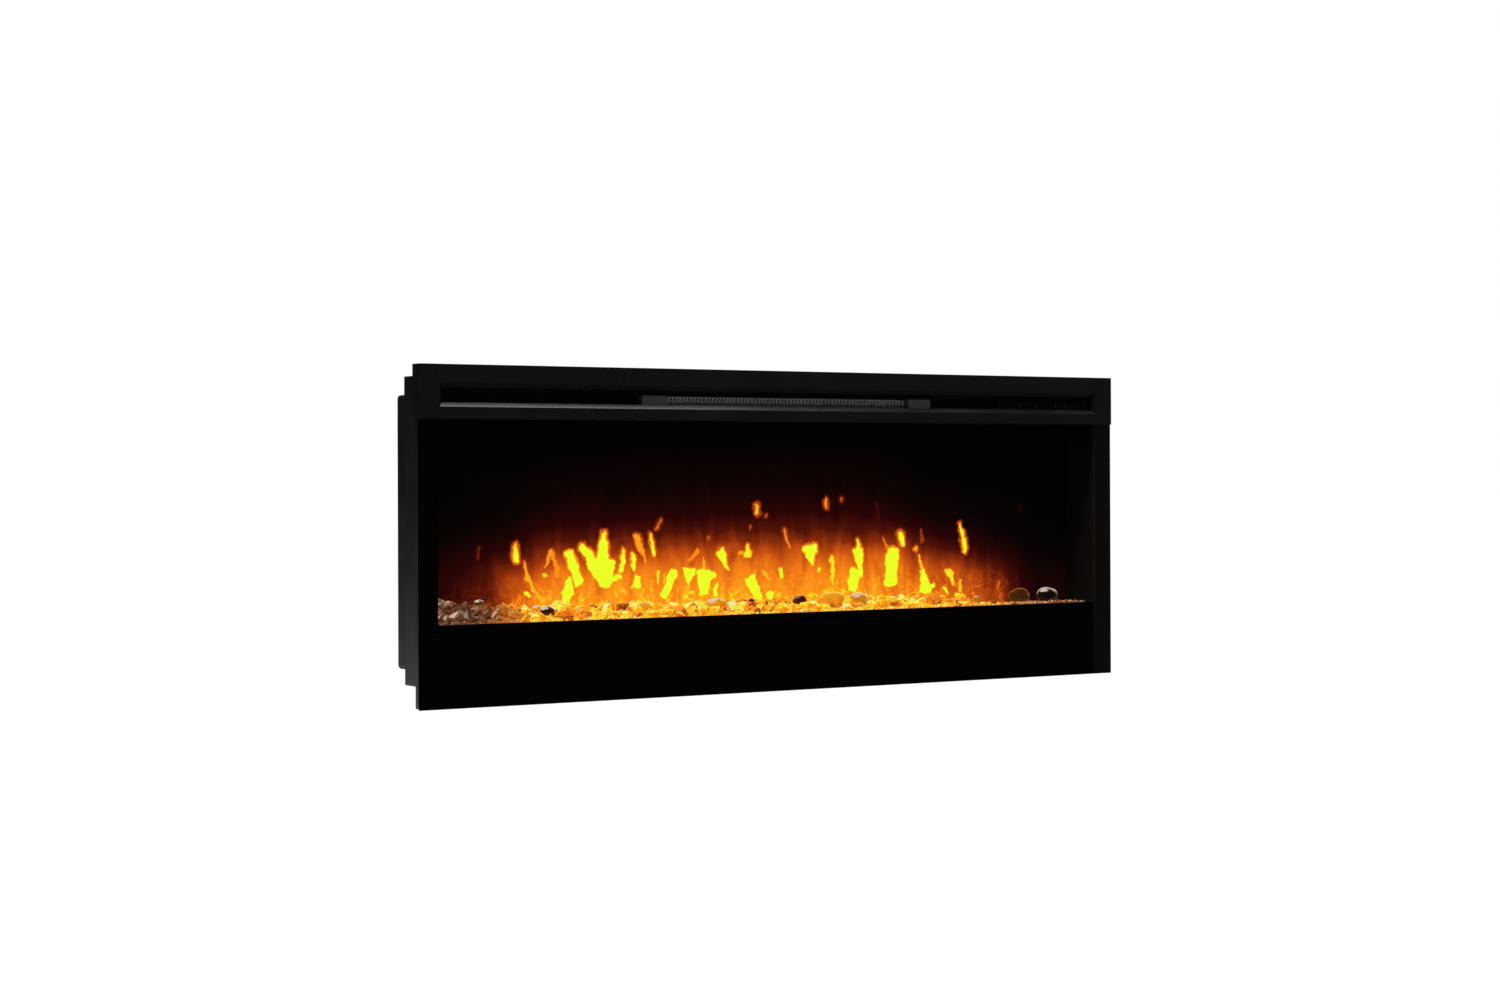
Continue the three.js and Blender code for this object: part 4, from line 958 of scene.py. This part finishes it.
def heap_top(x, y):
    """The heap's height: banked up towards the flame screen, and thin at the right."""
    rear = rear_height
    if x < bank_from:
        rear += bank_rise * min(1.0, (bank_from - x) / bank_over)
    elif x > thin_from:
        rear -= thin_drop * min(1.0, (x - thin_from) / thin_over)
    share = (y - bed_front) / (bed_back - bed_front)
    bumps = 0.004 * noise.noise(Vector((x * 26.0, y * 26.0, 3.0)))
    return heap_foot + rear * (0.25 + 0.75 * share) + bumps


def chip(cloud, x, y, z, size, seed):
    """A splinter of glass: the hull of a few points on a squashed ball, turned anyhow."""
    chance = random.Random(seed)
    turn = Matrix.Rotation(chance.uniform(0, 6.28), 3, "Z")
    turn = turn @ Matrix.Rotation(chance.uniform(0, 3.14), 3, "X")
    points = []
    for _ in range(chance.randint(9, 14)):
        way = Vector((chance.gauss(0, 1), chance.gauss(0, 1), chance.gauss(0, 1)))
        way.normalize()
        way = turn @ Vector([w * size * squash for w, squash in zip(way, splinter_shape)])
        points.append(cloud.verts.new((x + way.x, y + way.y, z + way.z)))
    made = bmesh.ops.convex_hull(cloud, input=points)
    stray = [v for v in made["geom_interior"] if isinstance(v, bmesh.types.BMVert)]
    bmesh.ops.delete(cloud, geom=list(set(stray)), context="VERTS")


def drop_chip(cloud, layer, x, y, z, size, seed, tint):
    """Drops one splinter on the heap, gives it its share of the painted glow, and keeps it
    between the tray's sides.
    """
    before = len(cloud.verts)
    chip(cloud, x, y, z, size, seed)
    cloud.verts.ensure_lookup_table()
    for vertex in cloud.verts[before:]:
        vertex[layer] = tint
        vertex.co.y = min(max(vertex.co.y, bed_front), bed_back)
        vertex.co.x = min(max(vertex.co.x, bed_low.x + 0.0005), bed_high.x - 0.0005)
        vertex.co.z = max(vertex.co.z, bed_low.z)


def along_bed(share, margin):
    """The place at this share of the bed's length, keeping a margin at both ends."""
    return bed_low.x + margin + (bed_high.x - bed_low.x - 2 * margin) * share


heap = bmesh.new()
glow_share_layer = heap.verts.layers.float.new("chip_glow_share")
columns, rows = 300, 14
grid = []
for i in range(columns + 1):
    x = bed_low.x + 0.001 + (bed_high.x - bed_low.x - 0.002) * i / columns
    grid.append([])
    for j in range(rows + 1):
        y = bed_front + (bed_back - bed_front) * j / rows
        top = heap.verts.new((x, y, heap_top(x, y) - 0.004))
        top[glow_share_layer] = 0.3 + 0.3 * noise.noise(Vector((x * 60, y * 60, 0)))
        grid[-1].append(top)
for i in range(columns):
    for j in range(rows):
        heap.faces.new((grid[i][j], grid[i + 1][j], grid[i + 1][j + 1], grid[i][j + 1]))
rim = [edge for edge in heap.edges if edge.is_boundary]
skirt = bmesh.ops.extrude_edge_only(heap, edges=rim)
for vertex in (g for g in skirt["geom"] if isinstance(g, bmesh.types.BMVert)):
    vertex.co.z = bed_low.z
hem = [e for e in skirt["geom"] if isinstance(e, bmesh.types.BMEdge)]
bottom = [edge for edge in hem if edge.is_boundary]
bmesh.ops.contextual_create(heap, geom=bottom)

chip_count, crumb_count = 330, 420
for i in range(chip_count):
    x = along_bed((i + rng.random()) / chip_count, chip_margin)
    y = rng.uniform(bed_front + 0.008, bed_back - 0.008)
    size = rng.uniform(0.0100, 0.0205)
    if x > small_chips_from:
        size *= small_share
    z = heap_top(x, y) + rng.uniform(-0.005, 0.001)
    drop_chip(heap, glow_share_layer, x, y, z, size, i, rng.random())
# Crumbs along the front get a high share of the painted glow: a bright painted line by the
# strip.
for i in range(crumb_count):
    x = along_bed((i + rng.random()) / crumb_count, crumb_margin)
    y = rng.uniform(bed_front + 0.002, bed_front + 0.012)
    size = rng.uniform(0.002, 0.0042)
    z = crumb_level + rng.uniform(-0.002, 0.001)
    drop_chip(heap, glow_share_layer, x, y, z, size, 1000 + i, rng.uniform(0.6, 1.0))
bmesh.ops.recalc_face_normals(heap, faces=heap.faces)

led_warmth, given, end = effect(
    "light from the strip", [("Point", "Vector", None)], [("Warmth", "Float")]
)
where = place(led_warmth, "SeparateXYZ", {0: given["Point"]})
across = spread(
    led_warmth, where.outputs["X"], (screen_low.x, screen_high.x), (0.0, 1.0)
)
warmth = hand_curve(
    led_warmth, across,
    [
        (0, 0.0), (0.06, 0.03), (0.08, 0.16), (0.10, 0.40), (0.12, 0.60), (0.14, 1.0),
        (0.76, 1.0), (0.82, 0.86), (0.87, 0.56), (0.92, 0.28), (1, 0.06),
    ],
)
feed(led_warmth, end, Warmth=warmth)

glass_veins_and_facet_shade, given, end = effect(
    "painted facet shade and glass-vein swirl",
    [("Point", "Vector", None), ("Size", "Float", 200.0)], [("Veins", "Float")],
)
swirl = cloudy(glass_veins_and_facet_shade, given["Point"], given["Size"], 3.0, 1.4)
# Faces that look up or to the left come out lighter and the others darker: painted facet
# shade mixed into the swirling veins.
way = surface_way(glass_veins_and_facet_shade)
leaning = maths(glass_veins_and_facet_shade, "MULTIPLY_ADD", way["X"], -0.22, swirl)
tipped = maths(glass_veins_and_facet_shade, "MULTIPLY_ADD", way["Z"], 0.24, leaning)
feed(glass_veins_and_facet_shade, end, Veins=tipped)

material, tree, shader = finish_named("broken glass crystals")
spot = place(tree, "TexCoord").outputs["Object"]
warmth = place(tree, "Group", {"Point": spot}, node_tree=led_warmth).outputs["Warmth"]
own = place(tree, "Attribute", attribute_name="chip_glow_share")
veins_and_facet_shade = place(
    tree, "Group", {"Point": spot, "Size": 150.0}, node_tree=glass_veins_and_facet_shade
).outputs["Veins"]
# Each chip's share and the veins, with their painted facet shade, set how bright its painted
# glow is.
mottle_and_facet_shade = maths(tree, "MULTIPLY_ADD", own.outputs["Fac"], 0.44, veins_and_facet_shade)
bright = spread(tree, mottle_and_facet_shade, (0.38, 1.22), (0.0, 1.0))
less_warm = spread(tree, warmth, (0.0, 1.0), (0.50, 1.0))
dimmed = maths(tree, "MULTIPLY", bright, less_warm)
# The light from the strip is painted in as an amber to lemon glow; the palest stops are
# painted highlights.
amber_glow = ramp_through(
    tree, dimmed,
    [
        (0.0, (0.10, 0.006, 0.003)), (0.14, (0.45, 0.05, 0.004)),
        (0.30, (0.92, 0.20, 0.008)), (0.55, (1.0, 0.36, 0.012)),
        (0.72, (0.98, 0.66, 0.016)), (0.86, (0.92, 0.95, 0.05)),
        (1.0, (1.0, 0.96, 0.60)),
    ],
)
# Where the strip stops, a smoky brown painted glow stands in for the studio light on the
# crystals; its top stop is a pale painted highlight.
smoky_painted_glow = ramp_through(
    tree, bright,
    [
        (0.0, (0.010, 0.002, 0.001)), (0.35, (0.045, 0.014, 0.006)),
        (0.60, (0.14, 0.052, 0.022)), (0.80, (0.27, 0.14, 0.080)),
        (1.0, (0.74, 0.52, 0.40)),
    ],
)
shining = mixed(tree, warmth, smoky_painted_glow, amber_glow)
# The body colour is painted lighter and warmer where the strip shines: painted light.
body = mixed(
    tree, warmth, (0.012, 0.004, 0.002, 1), (0.10, 0.030, 0.006, 1)
)
gloss = spread(tree, veins_and_facet_shade, (0.0, 1.0), (0.03, 0.18))
relief = raised(tree, veins_and_facet_shade, 0.3, 0.0008)
feed(tree, shader, Base_Color=body, Roughness=gloss, IOR=1.5)
feed(tree, shader, Emission_Color=shining, Emission_Strength=0.95)
feed(tree, shader, Normal=relief)
material.cycles.emission_sampling = "NONE"
ember_crystals = piece_from("ember_crystals", heap, material)
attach(ember_crystals, "casing")
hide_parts("ember_bed")


# ------------------------------------------------------------------ smooth glass pebbles
# A handful of tumbled glass pebbles lie on the crystals: clear ones with painted highlights
# round the tops of their rims and a painted glint, some with a painted glow inside, and a
# few of dark ruby glass.
pebbles = [
    # centre (metres), half sizes, how ruby, how pale the painted rim highlight and glint,
    # how much painted glow inside
    ((0.0475, -0.120, -0.2140), (0.0125, 0.0110, 0.0085), 1.0, 0.3, 0.0),
    ((-0.4080, -0.126, -0.2180), (0.0150, 0.0120, 0.0090), 0.9, 1.0, 0.0),
    ((-0.0420, -0.118, -0.2150), (0.0060, 0.0060, 0.0070), 1.0, 0.2, 0.0),
    ((-0.1100, -0.125, -0.2150), (0.0180, 0.0120, 0.0090), 0.0, 0.9, 1.0),
    ((0.1590, -0.122, -0.2160), (0.0150, 0.0130, 0.0125), 0.2, 0.8, 0.9),
    ((0.1080, -0.124, -0.2130), (0.0210, 0.0150, 0.0120), 0.0, 0.1, 1.0),
    ((0.4815, -0.126, -0.2190), (0.0200, 0.0150, 0.0140), 0.35, 0.0, 0.06),
    ((0.5410, -0.126, -0.2190), (0.0195, 0.0150, 0.0135), 0.0, 0.9, 0.0),
    ((0.3920, -0.128, -0.2200), (0.0060, 0.0050, 0.0045), 0.0, 1.0, 0.5),
    ((-0.5150, -0.118, -0.2020), (0.0080, 0.0070, 0.0050), 0.2, 1.0, 0.1),
    ((-0.3540, -0.128, -0.2180), (0.0075, 0.0065, 0.0065), 0.0, 1.0, 1.0),
    ((-0.4240, -0.126, -0.2140), (0.0080, 0.0065, 0.0065), 0.0, 1.0, 1.0),
    ((-0.2400, -0.126, -0.2160), (0.0120, 0.0110, 0.0085), 0.0, 0.3, 1.0),
]
tumbled = bmesh.new()
ruby_layer = tumbled.verts.layers.float.new("ruby")
highlight_pale_layer = tumbled.verts.layers.float.new("highlight_paleness")
lit_layer = tumbled.verts.layers.float.new("inner_light")
for centre, halves, ruby, highlight_pale, inner in pebbles:
    ball = bmesh.ops.create_icosphere(tumbled, subdivisions=4, radius=1.0)["verts"]
    for vertex in ball:
        way = vertex.co.copy()
        uneven = 1.0 + 0.12 * noise.noise(way * 1.3 + Vector(centre) * 90.0)
        stretched = Vector([w * half for w, half in zip(way, halves)])
        vertex.co = Vector(centre) + stretched * uneven
        vertex[ruby_layer] = ruby
        vertex[highlight_pale_layer] = highlight_pale
        vertex[lit_layer] = inner
for face in tumbled.faces:
    face.smooth = True

material, tree, shader = finish_named("tumbled glass pebbles")
spot = place(tree, "TexCoord").outputs["Object"]
veins_and_facet_shade = place(
    tree, "Group", {"Point": spot, "Size": 90.0}, node_tree=glass_veins_and_facet_shade
).outputs["Veins"]
ruby = place(tree, "Attribute", attribute_name="ruby").outputs["Fac"]
highlight_pale = place(tree, "Attribute", attribute_name="highlight_paleness").outputs["Fac"]
# The rims are painted highlights: a ring round the edge, only on faces that look up,
# streaked by the veins and their painted facet shade.
edge_on = place(tree, "LayerWeight", {"Blend": 0.35}).outputs["Facing"]
upwards = spread(tree, surface_way(tree)["Z"], (0.0, 0.75), (0.06, 1.0))
ring = spread(tree, edge_on, (0.32, 0.60), (0.0, 1.0), "SMOOTHSTEP")
ring_light = maths(tree, "MULTIPLY", ring, upwards)
streaked = spread(tree, veins_and_facet_shade, (0.42, 0.72), (0.40, 1.0))
rim_light = maths(tree, "MULTIPLY", ring_light, streaked)
inner = place(tree, "Attribute", attribute_name="inner_light").outputs["Fac"]
# Inside, a painted glow clouded by the veins and their painted facet shade.
clouded_and_facet_shaded = spread(tree, veins_and_facet_shade, (0.38, 0.76), (0.65, 1.15))
lit_inside = maths(tree, "MULTIPLY", inner, clouded_and_facet_shaded)
inner_glow_colour = mixed(tree, lit_inside, (0.004, 0.001, 0.001, 1), (0.98, 0.34, 0.010, 1))
# A painted glint where the surface faces a fixed lamp direction.
facing_lamp = vectors(
    tree, "DOT_PRODUCT", place(tree, "NewGeometry").outputs["Normal"],
    (-0.52, -0.45, 0.73),
)
painted_glint = spread(tree, facing_lamp, (0.90, 0.97), (0.0, 1.0), "SMOOTHSTEP")
dark = mixed(tree, ruby, inner_glow_colour, (0.050, 0.003, 0.002, 1))
golden_rim_highlight = mixed(tree, inner, (0.48, 0.13, 0.020, 1), (1.0, 0.62, 0.03, 1))
rim_highlight_colour = mixed(tree, highlight_pale, golden_rim_highlight, (0.80, 0.66, 0.60, 1))
brightest_highlight = maths(tree, "MAXIMUM", rim_light, maths(tree, "MULTIPLY", painted_glint, highlight_pale))
glowing = mixed(tree, brightest_highlight, dark, rim_highlight_colour)
gloss = spread(tree, veins_and_facet_shade, (0.0, 1.0), (0.02, 0.14))
relief = raised(tree, veins_and_facet_shade, 0.25, 0.0008)
# The base colour follows the veins, so it carries a little painted facet shade.
tone = ramp_through(
    tree, veins_and_facet_shade,
    [(0.0, (0.0010, 0.0006, 0.0004)), (1.0, (0.005, 0.003, 0.002))],
)
feed(tree, shader, Base_Color=tone, Roughness=gloss, IOR=1.5)
feed(tree, shader, Emission_Color=glowing, Emission_Strength=0.95)
feed(tree, shader, Normal=relief)
material.cycles.emission_sampling = "NONE"
ember_pebbles = piece_from("ember_pebbles", tumbled, material)
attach(ember_pebbles, "casing")


# ------------------------------------------------------------------ flame maker
# Behind the panel a sheet with cut-out flames stands before a rod of polished foil vanes,
# turned slowly by a small geared motor in a folded bracket, lit by two LED strips.
foil = metal_finish(
    "polished foil", (0.80, 0.80, 0.80, 1), crystal_size=300.0, rolling=600.0,
    bump=0.00008, edge_radius=0.0003,
)
dress(foil, "flicker_rod")
dress(zinc, "flame_cutout", "led_channel", "flicker_motor_bracket", "electrics_tray")
motor_steel = metal_finish(
    "motor steel", (0.32, 0.33, 0.34, 1), crystal_size=160.0, rolling=900.0,
    bump=0.00004,
)
dress(motor_steel, "flicker_motor", "fan_motor")
dress(black_rubber, "flicker_coupling")
ceramic = plastic_finish(
    "ceramic", (0.62, 0.58, 0.52, 1), grain=1200.0, dullest=0.7, glossiest=0.5,
    bump=0.00006,
)
dress(
    ceramic, "rod_bearing", "fan_bearing", "element_holder_left", "element_holder_right",
    "terminal_block",
)
led_board = plastic_finish(
    "white led board", (0.68, 0.69, 0.66, 1), grain=1600.0, dullest=0.45,
    glossiest=0.35, bump=0.00003,
)
dress(led_board, "ember_led_strip", "flame_led_strip")


# ------------------------------------------------------------------ fan heater
# A housing over the firebox, in the same matt black as the firebox's lining, holds a long
# drum fan of rolled aluminium and a finned element, and blows through the outlet. Its
# black is the lining's paint and also stands in for the shade in the slot behind the outlet.
# The housing's matt black also paints in the shade behind the outlet.
dress(lining, "heater_housing")
aluminium = metal_finish(
    "fan aluminium", (0.72, 0.73, 0.74, 1), crystal_size=200.0, rolling=1200.0,
    bump=0.00003,
)
dress(aluminium, "fan_impeller")
heated_alloy = metal_finish(
    "heated alloy", (0.30, 0.26, 0.23, 1), crystal_size=240.0, rolling=1500.0,
    bump=0.00005,
)
dress(heated_alloy, "heating_element")


# ------------------------------------------------------------------ electrics
# Two green resin boards, one behind the controls and one in the tray at the right, with a
# fine weave under the lacquer and paler tracks.
material, tree, shader = finish_named("circuit board resin")
spot = place(tree, "TexCoord").outputs["Object"]
tracks = place(
    tree, "TexBrick",
    {"Vector": spot, "Scale": 160.0, "Color1": (0.010, 0.085, 0.035, 1),
     "Color2": (0.014, 0.110, 0.045, 1), "Mortar": (0.05, 0.20, 0.08, 1)},
)
weave = cloudy(tree, spot, 2600.0, 1.0)
gloss = spread(tree, weave, (0.0, 1.0), (0.22, 0.42))
relief = raised(tree, weave, 0.3, 0.00004)
feed(tree, shader, Base_Color=tracks.outputs["Color"], Roughness=gloss)
feed(tree, shader, Normal=relief)
dress(material, "control_board", "power_board")
